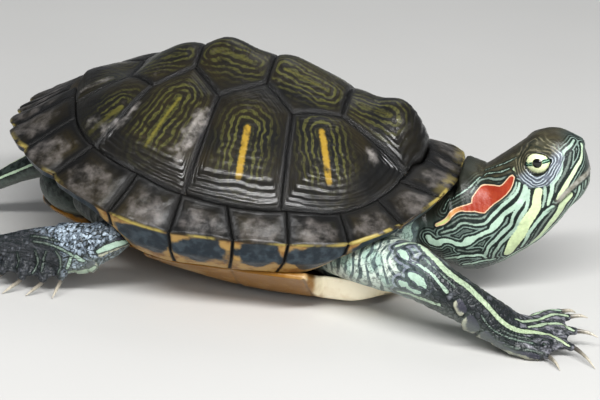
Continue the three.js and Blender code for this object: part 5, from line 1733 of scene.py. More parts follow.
def front_skin():
    body = smoothed(fused(front_flesh(), VOXEL))
    tree = tree_of(body)
    head_side = photo_stripes(tree, HEAD_STRIPES)
    foreleg = photo_stripes(tree, FORELEG_STRIPES)
    stripes = head_side + [s.mirrored() for s in head_side] + chin_stripes(tree) + foreleg
    stripes += other_side(foreleg, FORELEG_RIGHT, FORELEG_LEFT) + toe_lines(FOREFOOT_LEFT)
    tail = photo_stripes(tree, [RED_TAIL])[0]
    outline = on_surface(tree, RED_PATCH)[:, [0, 2]]
    return dress(body, stripes, outline, [tail, tail.mirrored()], photo_plates(tree, FORELEG_PLATES))


def rear_skin():
    body = smoothed(fused(rear_flesh(), VOXEL))
    tree = tree_of(body)
    stripes = photo_stripes(tree, HINDLEG_STRIPES)
    stripes += limb_lines(HINDLEG_LEFT, HIND_LINES) + limb_lines(TAIL, TAIL_LINES)
    return dress(body, stripes, [], [], photo_plates(tree, HINDLEG_PLATES))


def skin_piece():
    """The whole skin: the front and rear flesh, and the plain trunk hidden in the shell between them."""
    front, rear = front_skin(), rear_skin()
    middle = limb(TRUNK, 0.36, 0.6, rings=12, sides=36)
    middle.fields = {name: np.full(len(middle.points), v.mean()) for name, v in front.fields.items()}
    return merged([front, rear, middle])


# -----------------------------------------------------------------------------
# Claws and eyes
# -----------------------------------------------------------------------------

CLAW_SIZES = (0.48, 0.56, 0.38, 0.07)       # half-heights from inside the toe to the point
CLAW_FLATNESS = 0.8
PUPIL_AIM = np.array([0.16, 3.28, 0.28])    # from the eye's centre to the pupil
CORNEA_HEIGHT = 0.10


def claw(root, tip, point):
    """A slim curved claw, from inside the toe to its point."""
    root, tip, point = (np.array(p, float) for p in (root, tip, point))
    axis = unit(tip - root)
    start = tip - axis * 2.0
    middle = lerp(tip, point, 0.5) + axis * CLAW_ARCH + [0, 0, 0.25]
    places = (start, tip, middle, point)
    stations = [(*p, size, size * CLAW_FLATNESS, 0) for p, size in zip(places, CLAW_SIZES)]
    body = limb(stations, rings=26, sides=16)
    body.points[:, 2] = np.maximum(body.points[:, 2], 0)
    length = np.linalg.norm(body.points - start, axis=1) / np.linalg.norm(point - start)
    body.fields = {"length": length}
    return body


def eyeball(side):
    """The eye: a sphere with a low cornea. gaze, level and across are offsets from the pupil's axis."""
    pupil = unit(PUPIL_AIM * [1, side, 1])
    tilt = np.concatenate([np.linspace(0.004, 1.0, 70), np.linspace(1.03, math.pi - 0.03, 26)])[:, None]
    turn = np.linspace(0, 2 * math.pi, 96, endpoint=False)[None, :]
    first = unit(np.cross(pupil, [0, 0, 1.0]))
    second = np.cross(first, pupil)
    direction = (pupil * np.cos(tilt)[..., None] + first * (np.sin(tilt) * np.cos(turn))[..., None]
                 + second * (np.sin(tilt) * np.sin(turn))[..., None])
    radius = EYE_RADIUS + CORNEA_HEIGHT * (1 - smooth(0.0, 0.62, tilt))
    rings = from_head(EYE_CENTRE * [1, side, 1] + direction * radius[..., None])
    off = np.broadcast_to(np.sin(tilt) * EYE_RADIUS, (len(tilt), turn.size))
    level = np.sin(tilt) * np.sin(turn + side * EYE_LEVELLING) * EYE_RADIUS
    across = np.sin(tilt) * np.cos(turn + side * EYE_LEVELLING) * EYE_RADIUS
    return loft(rings, {"gaze": off, "level": level, "across": across})


# -----------------------------------------------------------------------------
# Materials
# -----------------------------------------------------------------------------

SCATTER_RADIUS = (0.0009, 0.0006, 0.0004)   # of red, green and blue light in the skin, in metres


class Graph:
    """A short way to write a material's node graph."""

    def __init__(self, name):
        self.material = bpy.data.materials.new(name)
        self.material.use_nodes = True
        self.tree = self.material.node_tree
        self.shader = self.tree.nodes["Principled BSDF"]
        self.place = self.node("ShaderNodeTexCoord").outputs["Object"]

    def node(self, kind, **settings):
        node = self.tree.nodes.new(kind)
        for key, value in settings.items():
            setattr(node, key, value)
        return node

    def plug(self, socket, value):
        if isinstance(value, bpy.types.NodeSocket):
            self.tree.links.new(value, socket)
        elif socket.type == "RGBA" and len(value) == 3:
            socket.default_value = (*value, 1)
        else:
            socket.default_value = value

    def math(self, operation, *values):
        node = self.node("ShaderNodeMath", operation=operation)
        for socket, value in zip(node.inputs, values):
            self.plug(socket, value)
        return node.outputs[0]

    def add(self, a, b):
        return self.math("ADD", a, b)

    def times(self, *values):
        result = values[0]
        for value in values[1:]:
            result = self.math("MULTIPLY", result, value)
        return result

    def less(self, a, b):
        return self.math("SUBTRACT", a, b)

    def wave(self, value, length):
        """A sine of the value that repeats after a length."""
        return self.math("SINE", self.times(value, 2 * math.pi / length))

    def sway(self, noise, amount):
        """A noise moved to swing about 0, and scaled."""
        return self.times(self.less(noise, 0.5), amount)

    def field(self, name):
        return self.node("ShaderNodeAttribute", attribute_name=name).outputs["Fac"]

    def fields(self, *names):
        return SimpleNamespace(**{name: self.field(name) for name in names})

    def ramp(self, low, high, value):
        """0 below low, 1 above high, eased between; low may be the greater one."""
        node = self.node("ShaderNodeMapRange", interpolation_type="SMOOTHSTEP")
        flip = low > high
        self.plug(node.inputs[0], value)
        self.plug(node.inputs[1], min(low, high))
        self.plug(node.inputs[2], max(low, high))
        self.plug(node.inputs[3], 1.0 if flip else 0.0)
        self.plug(node.inputs[4], 0.0 if flip else 1.0)
        return node.outputs[0]

    def mix(self, a, b, share):
        node = self.node("ShaderNodeMix", data_type="RGBA")
        self.plug(node.inputs[0], share)
        self.plug(node.inputs[6], a)
        self.plug(node.inputs[7], b)
        return node.outputs[2]

    def shade(self, colour, factor):
        """A colour made lighter or darker by a factor."""
        node = self.node("ShaderNodeVectorMath", operation="SCALE")
        self.plug(node.inputs[0], colour)
        self.plug(node.inputs["Scale"], factor)
        return node.outputs[0]

    def noise(self, size, detail=2.0, roughness=0.5, stretch=None):
        """Noise from 0 to 1 with features of a size in millimetres."""
        place = self.place
        if stretch:
            scaled = self.node("ShaderNodeVectorMath", operation="MULTIPLY")
            self.plug(scaled.inputs[0], place)
            self.plug(scaled.inputs[1], stretch)
            place = scaled.outputs[0]
        node = self.node("ShaderNodeTexNoise")
        self.plug(node.inputs["Vector"], place)
        self.plug(node.inputs["Scale"], 1 / (size * MM))
        self.plug(node.inputs["Detail"], detail)
        self.plug(node.inputs["Roughness"], roughness)
        return node.outputs["Fac"]

    def cells(self, size):
        node = self.node("ShaderNodeTexVoronoi", feature="DISTANCE_TO_EDGE")
        self.plug(node.inputs["Vector"], self.place)
        self.plug(node.inputs["Scale"], 1 / (size * MM))
        return node.outputs["Distance"]

    def relief(self, height, depth, below=None):
        node = self.node("ShaderNodeBump")
        self.plug(node.inputs["Height"], height)
        self.plug(node.inputs["Strength"], 1.0)
        self.plug(node.inputs["Distance"], depth * MM)
        if below is not None:
            self.plug(node.inputs["Normal"], below)
        return node.outputs["Normal"]

    def finish(self, colour, roughness, normal=None, coat=0.0, coat_roughness=0.1, specular=0.5,
               subsurface=0.0):
        s = self.shader.inputs
        self.plug(s["Base Color"], colour)
        self.plug(s["Roughness"], roughness)
        if normal is not None:
            self.plug(s["Normal"], normal)
            self.plug(s["Coat Normal"], normal)
        s["Coat Weight"].default_value = coat
        s["Coat Roughness"].default_value = coat_roughness
        s["Specular IOR Level"].default_value = specular
        s["Subsurface Weight"].default_value = subsurface
        s["Subsurface Radius"].default_value = SCATTER_RADIUS
        s["Subsurface Scale"].default_value = 1.0
        return self.material


SHELL_DARK = (0.008, 0.008, 0.008)
SHELL_BROWN = (0.027, 0.021, 0.010)
SHELL_OLIVE = (0.080, 0.079, 0.024)
SHELL_WORN = (0.190, 0.172, 0.160)
SHELL_RUBBED = (0.44, 0.41, 0.385)
SHELL_YELLOW = (0.30, 0.195, 0.028)
SHELL_GOLD = (0.36, 0.29, 0.085)
SHELL_STREAK = (0.125, 0.115, 0.025)
SHELL_TAN = (0.36, 0.23, 0.080)
SHELL_RUST = (0.20, 0.10, 0.030)
SHELL_BLOTCH = (0.016, 0.024, 0.032)
SHELL_BLOTCH_LIGHT = (0.045, 0.060, 0.072)
BONE = (0.05, 0.04, 0.025)
PLASTRON_CREAM = (0.76, 0.66, 0.43)
PLASTRON_PALE = (0.93, 0.86, 0.68)
# amber of the bridges, darkened further as painted shade from under the rim
PLASTRON_AMBER_SHADE = (0.225, 0.104, 0.012)
PLASTRON_TINT = (0.52, 0.34, 0.14)
PLASTRON_BLOTCH = (0.022, 0.027, 0.026)
PLASTRON_SEAM = (0.16, 0.09, 0.03)
PLASTRON_LINE = (0.40, 0.27, 0.10)


def dome_pattern(g, f, medium):
    """Near-black horn with growth rings, olive arcs round each pale bar, and the bar itself."""
    shade = g.add(g.times(g.noise(9, 3), 0.8), g.times(f.tone, 0.3))
    colour = g.mix(SHELL_DARK, SHELL_BROWN, g.ramp(0.35, 0.8, shade))
    swaying = g.add(f.bar, g.sway(g.noise(3.2, 2), 2.6))
    wave = g.math("SINE", g.add(g.times(swaying, 2 * math.pi / 1.45), 0.6))
    near_bar = g.times(g.ramp(7.5, 1.5, f.bar), g.ramp(0.0, 0.6, g.add(f.mark, 0.15)))
    arcs = g.times(g.ramp(-0.1, 0.6, wave), g.add(near_bar, 0.05), g.ramp(0.28, 0.52, medium))
    arcs = g.times(arcs, g.ramp(0.25, 0.45, g.noise(0.8, 3)), g.less(1.0, f.dark))
    colour = g.mix(colour, SHELL_OLIVE, arcs)
    colour = g.mix(colour, SHELL_DARK, g.times(g.ramp(0.2, 1.0, g.wave(f.ring, 1.0)), 0.35))
    bar_edge = g.add(f.bar, g.sway(g.noise(0.5, 2), 0.7))
    colour = g.mix(colour, SHELL_DARK, g.times(g.ramp(1.0, 0.5, bar_edge), f.mark, 0.8))
    in_bar = g.times(g.ramp(0.25, -0.35, bar_edge), g.ramp(0.0, 0.5, f.mark), g.ramp(0.2, 0.5, medium))
    return g.mix(colour, g.mix(SHELL_STREAK, SHELL_YELLOW, g.ramp(0.4, 0.9, f.mark)), in_bar)


def worn_shell(g, f, medium, colour, worn_colour):
    """Rubbed places all over, dark seams, and the worn patch of each edge plate."""
    rubbed = g.times(g.ramp(0.54, 0.76, g.noise(5.5, 4, 0.6)), g.ramp(0.45, 0.62, g.noise(0.9, 3, 0.6)))
    colour = g.mix(colour, SHELL_WORN, g.times(rubbed, g.ramp(0.6, 2.0, f.seam), 0.22))
    colour = g.mix(colour, SHELL_DARK, g.times(f.dark, 0.85))
    patch = g.ramp(1.2, -0.9, g.add(f.worn, g.sway(medium, 4.0)))
    patch = g.times(patch, g.ramp(0.3, 0.75, g.noise(2.6, 4, 0.6)))
    return g.mix(colour, worn_colour, g.times(patch, 0.6, g.ramp(0.5, 0.0, f.under)))


def shell_underside(g, f, medium):
    """Tan to rust, with a dark blue-grey blotch on each plate."""
    tan = g.mix(SHELL_TAN, SHELL_RUST, g.ramp(0.45, 0.65, g.noise(3.4, 3)))
    slate = g.mix(SHELL_BLOTCH, SHELL_BLOTCH_LIGHT, g.ramp(0.4, 0.7, g.noise(2.0, 3)))
    colour = g.mix(tan, slate, g.ramp(1.12, 0.88, g.add(f.blotch, g.sway(medium, 0.6))))
    return g.mix(colour, SHELL_DARK, g.ramp(0.6, 0.2, f.seam))


def shell_material(name, worn_colour, coat, coat_roughness):
    g = Graph(name)
    f = g.fields("seam", "ring", "bar", "mark", "tone", "dark", "worn", "gold", "under", "blotch")
    medium = g.noise(2.4, 3)
    colour = worn_shell(g, f, medium, dome_pattern(g, f, medium), worn_colour)
    colour = g.mix(colour, shell_underside(g, f, medium), f.under)
    colour = g.mix(colour, SHELL_GOLD, g.times(f.gold, g.ramp(0.36, 0.56, medium), 0.9))
    roughness = g.add(g.times(medium, 0.25), 0.26)
    normal = g.relief(g.noise(0.28, 3, 0.6), 0.05, g.relief(medium, 0.12))
    normal = g.relief(g.times(g.noise(0.2, 3, 0.7), g.ramp(1.3, 0.3, f.seam)), 0.22, normal)
    return g.finish(colour, roughness, normal, coat=coat, coat_roughness=coat_roughness, specular=0.2)


def bone_material():
    g = Graph("shell_seams")
    colour = g.mix(SHELL_DARK, BONE, g.noise(2, 3))
    return g.finish(colour, 0.55, g.relief(g.noise(0.6, 3), 0.08))


def plastron_material():
    """Cream, paler on the front lobe's sides, amber with painted shade on the bridges, and dark blotches
    underneath.
    """
    g = Graph("plastron_plates")
    f = g.fields("seam", "lobe", "under")
    share = g.add(g.ramp(0.35, 0.7, g.noise(11, 3)), g.less(0.9, g.times(f.lobe, 1.4)))
    ground = g.mix(PLASTRON_CREAM, PLASTRON_PALE, g.times(f.lobe, g.less(1.0, f.under)))
    # The amber behind the front lobe is partly the horn's own colour and partly painted shade from under the
    # rim.
    colour = g.mix(ground, PLASTRON_AMBER_SHADE, g.ramp(0.0, 1.2, share))
    colour = g.mix(colour, PLASTRON_TINT, g.times(g.ramp(0.5, 0.75, g.noise(4, 3)), 0.3))
    blotch = g.times(g.ramp(0.53, 0.57, g.noise(8.5, 3, 0.5)), g.ramp(0.4, 2.0, f.seam), f.under)
    colour = g.mix(colour, PLASTRON_BLOTCH, g.times(blotch, 0.92))
    colour = g.mix(colour, PLASTRON_SEAM, g.times(g.ramp(0.5, 0.1, f.seam), 0.7))
    lines = g.ramp(0.3, 1.0, g.wave(f.seam, 1.3))
    colour = g.mix(colour, PLASTRON_LINE, g.times(lines, f.under, 0.18))
    roughness = g.add(g.times(g.noise(3, 2), 0.15), 0.3)
    normal = g.relief(g.noise(0.5, 3), 0.05)
    return g.finish(colour, roughness, normal, coat=0.12, coat_roughness=0.2, specular=0.35)


SKIN_DARK = (0.012, 0.018, 0.016)
SKIN_SLATE = (0.052, 0.068, 0.060)
SKIN_MIDDLE = (0.200, 0.265, 0.230)
SKIN_CROWN = (0.042, 0.036, 0.022)
# the dark top of the neck, which also carries painted shade under the shell's edge
SKIN_NAPE_AND_SHADE = (0.020, 0.020, 0.014)
SKIN_ARM = (0.022, 0.025, 0.028)
SKIN_SCALE = (0.125, 0.132, 0.148)
SKIN_SHANK = (0.140, 0.170, 0.205)
SKIN_WEB = (0.200, 0.200, 0.225)
MARBLE_PALE = (0.53, 0.60, 0.53)
MARBLE_MINT = (0.34, 0.46, 0.40)
MARBLE_GREY = (0.080, 0.105, 0.110)
MARBLE_DARK = (0.030, 0.038, 0.042)
ARM_LILAC = (0.200, 0.215, 0.265)
STRIPE_MINT = (0.41, 0.55, 0.45)
STRIPE_YELLOW = (0.58, 0.68, 0.41)
STRIPE_GREY = (0.150, 0.185, 0.160)
EAR_RED = (0.265, 0.034, 0.014)
EAR_TAN = (0.50, 0.24, 0.09)
EAR_RIM = (0.66, 0.46, 0.30)
HORN = (0.34, 0.33, 0.29)
LID_TOP = (0.060, 0.057, 0.036)
LID_LOW = (0.12, 0.135, 0.165)
PLATE_GREY = (0.036, 0.036, 0.050)
PLATE_RIM = (0.34, 0.34, 0.26)
SKIN_PEBBLE = (0.36, 0.43, 0.50)
SKIN_CROWN_LIGHT = (0.085, 0.075, 0.042)
SKIN_BELLY = (0.30, 0.34, 0.30)
EAR_RED_LIGHT = (0.32, 0.056, 0.024)
EAR_TAIL_END = (0.46, 0.52, 0.20)
LID_TOP_LIT = (0.165, 0.155, 0.105)
LID_LOW_LIT = (0.42, 0.48, 0.50)
LID_EDGE = (0.008, 0.010, 0.009)
HORN_DARK = (0.16, 0.15, 0.12)


class SkinGraph(Graph):
    """The skin's material, with the noises and values that several of its layers read."""

    def __init__(self):
        super().__init__("skin")
        self.thin = self.noise(0.35, 2)
        self.medium = self.noise(1.4, 3)
        self.wander = self.add(self.sway(self.thin, 0.22), self.sway(self.medium, 0.3))
        self.fibres = self.ramp(0.42, 0.62, self.noise(0.7, 3, 0.6, stretch=(0.25, 1, 1)))
        self.pale = self.field("pale")
        self.neck = self.field("neck")
        self.border = self.field("border")
        self.marble = self.field("marble")
        self.foot = self.field("foot")
        self.limb = self.math("MAXIMUM", self.field("lower"), self.foot)
        self.on_plate = self.ramp(0.0, -0.2, self.field("plate"))


def leg_skin(g, colour):
    """Legs and feet: dark, with a lighter middle on each scale, pebbled shanks and streaky hands."""
    tone = g.field("tone")
    scale = g.mix(SKIN_ARM, SKIN_SCALE, g.times(g.ramp(0.10, 0.75, g.border), g.ramp(0.1, 1.0, tone)))
    colour = g.mix(colour, scale, g.limb)
    pebble = g.mix(SKIN_SHANK, SKIN_PEBBLE, g.ramp(0.15, 0.9, tone))
    colour = g.mix(colour, pebble, g.times(g.field("hind"), g.ramp(0.05, 0.25, g.border)))
    hand = g.mix(SKIN_ARM, SKIN_WEB, g.fibres)
    return g.mix(colour, hand, g.times(g.foot, g.less(0.9, g.times(g.field("rear"), 0.78))))


def marbled_skin(g, colour):
    """Armpits and upper arms: white-mint with grey bands and dark veins, and lilac lines by the stripes."""
    marble = g.mix(MARBLE_PALE, MARBLE_MINT, g.ramp(0.4, 0.6, g.noise(4.5, 2)))
    bands = g.times(g.ramp(0.1, 0.65, g.wave(g.field("bands"), 1.0)), g.ramp(0.25, 0.5, g.noise(2.0, 3)))
    marble = g.mix(marble, MARBLE_GREY, g.times(bands, 0.95))
    veins = g.math("ABSOLUTE", g.less(g.noise(3.4, 3, 0.55), 0.5))
    marble = g.mix(marble, MARBLE_DARK, g.times(g.ramp(0.030, 0.010, veins), 0.45))
    marble = g.mix(marble, MARBLE_GREY, g.times(g.ramp(0.12, 0.0, g.border), 0.3))
    beside = g.wave(g.add(g.add(g.pale, g.wander), 0.2), 1.15)
    lines = g.mix(MARBLE_DARK, ARM_LILAC, g.ramp(-0.3, 0.5, beside))
    near_stripe = g.ramp(2.4, 1.1, g.add(g.pale, g.sway(g.medium, 3.0)))
    marble = g.mix(marble, lines, g.times(near_stripe, 0.85))
    # The marble fades on the neck's dark top and where painted shade lies under the shell's edge.
    return g.mix(colour, marble, g.times(g.marble, g.less(1.0, g.times(g.field("nape_and_shade"), 0.8))))


def neck_skin(g, colour):
    """Head and neck: fine lines that follow the stripes like echoes, a dark crown, a dark neck top with
    painted shade, and grooves.
    """
    echo = g.wave(g.add(g.add(g.pale, g.wander), 0.14), 0.66)
    bright = g.mix(SKIN_MIDDLE, SKIN_SLATE, g.ramp(0.7, 1.8, g.pale))
    lines = g.mix(SKIN_DARK, bright, g.ramp(-0.2, 0.5, echo))
    lines = g.mix(lines, SKIN_SLATE, g.ramp(1.7, 2.6, g.pale))
    colour = g.mix(colour, lines, g.times(g.neck, 0.95))
    # The neck's dark top, and painted shade high under the shell's front edge.
    colour = g.mix(colour, SKIN_NAPE_AND_SHADE, g.times(g.field("nape_and_shade"), 0.9))
    streaks = g.noise(1.8, 3, stretch=(0.4, 1, 1))
    crown = g.mix(SKIN_CROWN, SKIN_CROWN_LIGHT, g.ramp(0.45, 0.7, streaks))
    colour = g.mix(colour, crown, g.times(g.field("crown"), 0.92))
    groove = g.times(g.ramp(0.14, 0.0, g.border), g.less(1.0, g.times(g.neck, 0.85)))
    return g.mix(colour, SKIN_DARK, g.times(groove, 0.6))


def big_scales(g, colour):
    """Slate scales with a pale free rim on the limbs' edges."""
    outline = g.ramp(0.35, 0.05, g.math("ABSOLUTE", g.field("plate")))
    colour = g.mix(colour, SKIN_DARK, g.times(outline, 0.8))
    rim = g.add(g.field("plate_rim"), g.sway(g.medium, 1.6))
    return g.mix(colour, g.mix(PLATE_GREY, PLATE_RIM, g.ramp(1.0, 0.2, rim)), g.times(g.on_plate, 0.92))


def stripes_on(g, colour):
    """The stripes, each with a dark edge."""
    yellow = g.field("yellow")
    distance = g.add(g.add(g.pale, g.wander), g.times(g.less(g.medium, 0.5), g.marble, 0.8))
    edge = g.times(g.ramp(0.42, 0.2, distance), g.less(0.9, g.times(g.marble, 0.35)))
    colour = g.mix(colour, SKIN_DARK, edge)
    stripe = g.mix(STRIPE_MINT, STRIPE_YELLOW, g.ramp(0.0, 0.8, yellow))
    stripe = g.mix(stripe, STRIPE_GREY, g.ramp(0.0, -0.9, yellow))
    stripe = g.shade(stripe, g.add(0.70, g.times(g.noise(0.8, 3), 0.45)))
    stripe = g.shade(stripe, g.less(1.0, g.times(g.limb, 0.28)))
    return g.mix(colour, stripe, g.ramp(0.10, -0.06, distance))


def ear_patch(g, colour):
    """The patch behind the eye: red with a pale rim, running out into tan and yellow."""
    ear = g.mix(EAR_RED, EAR_RED_LIGHT, g.ramp(0.35, 0.75, g.noise(2.2, 2)))
    place = g.field("tail_place")
    run_out = g.mix(ear, EAR_TAN, g.ramp(0.15, 0.45, place))
    run_out = g.mix(run_out, EAR_TAIL_END, g.ramp(0.55, 0.8, place))
    red = g.add(g.field("red"), g.times(g.wander, 0.4))
    tail = g.add(g.field("tail"), g.times(g.wander, 0.6))
    nearest = g.math("MINIMUM", red, tail)
    colour = g.mix(colour, SKIN_DARK, g.times(g.ramp(0.75, 0.4, nearest), 0.9))
    colour = g.mix(colour, EAR_RIM, g.times(g.ramp(0.17, 0.05, nearest), 0.85))
    colour = g.mix(colour, run_out, g.ramp(-0.06, -0.18, tail))
    return g.mix(colour, ear, g.ramp(-0.06, -0.18, red))


def lids(g, colour):
    """Fine folds round the eye, olive above and lilac-grey below, with painted highlight and shade on the
    folds, and a dark edge.
    """
    gap = g.field("lid")
    folded = g.add(g.field("lid_fold"), g.sway(g.thin, 0.25))
    fold = g.math("COSINE", g.times(folded, 2 * math.pi / LID_WRINKLE))
    upper = g.ramp(-1.2, 0.6, g.field("lid_level"))
    shade = g.mix(LID_LOW, LID_TOP, upper)
    # Painted highlight on the folds' crests, where the lids' relief rises.
    lit = g.times(g.ramp(0.3, 0.95, fold), g.ramp(0.3, 0.55, g.noise(1.6, 2)))
    shade = g.mix(shade, g.mix(LID_LOW_LIT, LID_TOP_LIT, upper), lit)
    # Painted shade in the folds' troughs.
    shade = g.mix(shade, SKIN_DARK, g.times(g.ramp(-0.1, -0.9, fold), g.ramp(0.35, 0.55, g.medium), 0.7))
    colour = g.mix(colour, shade, g.ramp(3.0, 2.2, g.add(gap, g.sway(g.medium, 1.2))))
    return g.mix(colour, LID_EDGE, g.ramp(0.14, 0.02, gap))


def jaws_and_belly(g, colour):
    """The horny jaw, painted shade along the mouth line and in the nostrils, and the paler skin that faces
    down.
    """
    horn = g.mix(HORN, HORN_DARK, g.ramp(0.4, 0.7, g.noise(1.5, 3, stretch=(0.5, 1, 1))))
    colour = g.mix(colour, horn, g.times(g.field("horn"), 0.85))
    # Painted shade along the mouth line and in the nostrils.
    colour = g.mix(colour, SKIN_DARK, g.times(g.field("crease_shade"), 0.95))
    below = g.times(g.field("belly"), g.less(1.0, g.neck), g.less(1.0, g.foot))
    return g.mix(colour, SKIN_BELLY, g.times(below, 0.35))


def skin_material():
    g = SkinGraph()
    colour = g.mix(SKIN_SLATE, SKIN_DARK, g.ramp(0.38, 0.62, g.medium))
    for layer in (leg_skin, marbled_skin, neck_skin, big_scales, stripes_on, ear_patch, lids, jaws_and_belly):
        colour = layer(g, colour)
    scaled = g.times(g.limb, g.less(1.0, g.on_plate), g.less(1.0, g.times(g.foot, 0.7)))
    pebbles = g.cells(1.15)
    cracks = g.times(g.ramp(0.10, 0.0, pebbles), scaled, g.ramp(0.0, 0.3, g.pale))
    colour = g.mix(colour, SKIN_DARK, g.times(cracks, 0.55))
    ridged = g.times(g.on_plate, g.noise(0.7, 4, 0.6), 0.9)
    scales = g.add(g.times(g.ramp(0.0, 0.22, pebbles), scaled), ridged)
    grain = g.relief(g.cells(0.42), 0.05, g.relief(g.noise(0.9, 3), 0.08, g.relief(scales, 0.16)))
    grain = g.relief(g.times(g.fibres, g.foot), 0.10, grain)
    roughness = g.less(g.add(g.times(g.medium, 0.18), 0.28), g.times(g.foot, 0.14))
    return g.finish(colour, roughness, grain, coat=0.15, coat_roughness=0.16, specular=0.25, subsurface=0.04)


CLAW_ROOT = (0.060, 0.052, 0.042)
CLAW_TIP = (0.50, 0.46, 0.37)
CLAW_STREAK = (0.02, 0.018, 0.015)


def claw_material():
    g = Graph("claws")
    colour = g.mix(CLAW_ROOT, CLAW_TIP, g.ramp(0.25, 0.85, g.field("length")))
    streak = g.noise(0.5, 3, 0.6, stretch=(1, 1, 0.3))
    colour = g.mix(colour, CLAW_STREAK, g.times(g.ramp(0.45, 0.7, streak), 0.5))
    roughness = g.add(g.times(streak, 0.2), 0.2)
    return g.finish(colour, roughness, g.relief(streak, 0.03), coat=0.5, coat_roughness=0.1)


IRIS = (0.66, 0.72, 0.42)
IRIS_LIGHT = (0.76, 0.80, 0.53)
IRIS_EDGE = (0.52, 0.58, 0.32)
EYE_BAR = (0.20, 0.42, 0.30)
EYE_BAR_DARK = (0.012, 0.035, 0.022)
PUPIL_RING = (0.10, 0.11, 0.03)
PUPIL = (0.004, 0.004, 0.004)
EYE_WHITE = (0.02, 0.028, 0.022)            # dark in this animal
PUPIL_RADIUS = 1.04


def eye_material():
    g = Graph("eyes")
    f = g.fields("gaze", "level", "across")
    iris = g.mix(IRIS, IRIS_LIGHT, g.ramp(0.3, 0.7, g.noise(0.25, 3, 0.6)))
    iris = g.mix(iris, IRIS_EDGE, g.ramp(2.2, 2.7, f.gaze))
    height = g.math("ABSOLUTE", g.add(f.level, g.sway(g.noise(0.6, 2), 0.5)))
    bar = g.mix(iris, EYE_BAR, g.times(g.ramp(0.62, 0.40, height), 0.9))
    bar = g.mix(bar, EYE_BAR_DARK, g.ramp(0.22, 0.10, g.math("ABSOLUTE", g.less(height, 0.24))))
    beside = g.ramp(0.9, 1.2, g.math("ABSOLUTE", f.across))
    colour = g.mix(iris, bar, g.times(beside, g.ramp(0.25, 0.42, g.noise(0.9, 2))))
    colour = g.mix(colour, PUPIL_RING, g.ramp(PUPIL_RADIUS + 0.08, PUPIL_RADIUS, f.gaze))
    colour = g.mix(colour, PUPIL, g.ramp(PUPIL_RADIUS, PUPIL_RADIUS - 0.08, f.gaze))
    colour = g.mix(colour, EYE_WHITE, g.ramp(EYE_OPENING, 2.85, f.gaze))
    return g.finish(colour, 0.22, None, coat=1.0, coat_roughness=0.02, specular=0.3)


FLOOR = (0.52, 0.515, 0.50)
FLOOR_LIGHT = (0.55, 0.545, 0.53)


def floor_material():
    g = Graph("studio_floor")
    return g.finish(g.mix(FLOOR, FLOOR_LIGHT, g.noise(60, 2)), 0.9, specular=0.1)


# -----------------------------------------------------------------------------
# Camera, light and floor
# -----------------------------------------------------------------------------

def aim_camera():
    data = bpy.data.cameras.new("photo_camera")
    data.sensor_width = SENSOR_WIDTH
    data.lens = PHOTO_FOCAL_PIXELS / PHOTO_SIZE[0] * SENSOR_WIDTH
    data.clip_start = 0.01
    data.clip_end = 20
    camera = bpy.data.objects.new("photo_camera", data)
    bpy.context.scene.collection.objects.link(camera)
    back, right, up = (Vector(v) for v in camera_axes())
    centre = Vector(pixel_direction(PHOTO_SIZE[0] / 2, PHOTO_SIZE[1] / 2))
    turn = (-back).rotation_difference(centre)
    axes = Matrix([right, up, back]).transposed()
    camera.rotation_mode = "QUATERNION"
    camera.rotation_quaternion = turn @ axes.to_quaternion()
    camera.location = Vector(to_frame(camera_place()))
    bpy.context.scene.camera = camera


def soft_light(name, azimuth, elevation, distance, wide, tall, power):
    a, e = math.radians(azimuth), math.radians(elevation)
    toward = Vector((math.sin(a) * math.cos(e), -math.cos(a) * math.cos(e), math.sin(e)))
    data = bpy.data.lights.new(name, "AREA")
    data.shape = "RECTANGLE"
    data.size = wide
    data.size_y = tall
    data.energy = power
    light = bpy.data.objects.new(name, data)
    bpy.context.scene.collection.objects.link(light)
    light.location = toward * distance
    light.rotation_mode = "QUATERNION"
    light.rotation_quaternion = toward.to_track_quat("Z", "Y")


SKY = (0.80, 0.84, 0.90)
SKY_STRENGTH = 0.21
FLOOR_HALF_SIDE = 3.0                       # metres, as are the lights' distances and sizes
# Lights: azimuth and elevation in degrees, distance, width and height, and power in watts.
LIGHTS = {
    "key": (19, 48, 0.9, 0.95, 0.09, 11.0),
    "front_fill": (28, 24, 1.1, 0.40, 0.40, 4.5),
    "back_light": (175, 55, 1.1, 0.60, 0.60, 1.0),
}


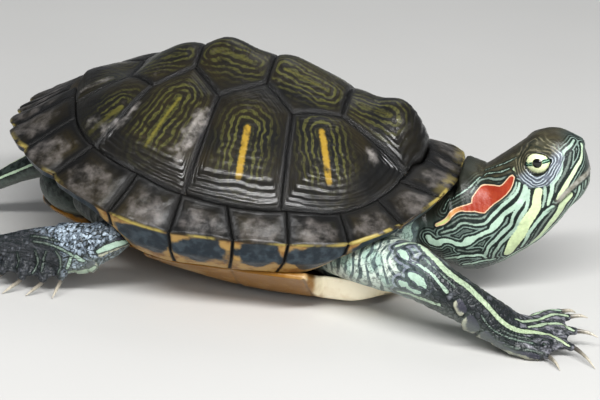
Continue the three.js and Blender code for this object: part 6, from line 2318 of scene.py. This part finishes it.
def studio():
    world = bpy.data.worlds.new("studio")
    world.use_nodes = True
    sky = world.node_tree.nodes["Background"].inputs
    sky["Color"].default_value = (*SKY, 1)
    sky["Strength"].default_value = SKY_STRENGTH
    bpy.context.scene.world = world
    for name, settings in LIGHTS.items():
        soft_light(name, *settings)
    plane = bpy.data.meshes.new("studio_floor")
    corners = [(x * FLOOR_HALF_SIDE, y * FLOOR_HALF_SIDE, 0) for x, y in ((-1, -1), (1, -1), (1, 1), (-1, 1))]
    plane.from_pydata(corners, [], [(0, 1, 2, 3)])
    plane.materials.append(floor_material())
    floor = bpy.data.objects.new("studio_floor", plane)
    bpy.context.scene.collection.objects.link(floor)
    bpy.context.scene.view_settings.view_transform = "Standard"
    bpy.context.scene.view_settings.look = "Medium High Contrast"


# -----------------------------------------------------------------------------
# The whole animal
# -----------------------------------------------------------------------------

def build():
    dome = shell_material("dome_plates", SHELL_RUBBED, 0.58, 0.065)
    edge = shell_material("edge_plates", SHELL_WORN, 0.22, 0.24)
    plates = {}
    plates["vertebrals"] = vertebrals()
    plates["costals_right"], plates["costals_left"] = costals(-1), costals(1)
    plates["marginals_right"], plates["marginals_left"] = marginals(-1), marginals(1)
    for name, body in plates.items():
        finished(name, body, edge if "marginals" in name else dome, "carapace")
    finished("carapace_bone", bone(), bone_material(), "carapace", "carapace")
    finished("plastron_plates", plastron(), plastron_material(), "plastron", "plastron")
    flesh = ["trunk", "neck", "head", "tail"]
    flesh += [f"{name}_{half}" for name in LIMBS for half in ("upper", "lower")]
    finished("skin", skin_piece(), skin_material(), "skin", *flesh, *FEET)
    eyes, horn = eye_material(), claw_material()
    for name, side in (("left", 1), ("right", -1)):
        finished(f"eyeball_{name}", eyeball(side), eyes, "eye", f"eye_{name}")
    for name, shape in FEET.items():
        for number, (root, tip, point, _) in enumerate(shape["toes"], 1):
            if point:
                finished(f"{name}_horn_{number}", claw(root, tip, point), horn, "claw",
                         f"{name}_claw_{number}")


aim_camera()
studio()
build()
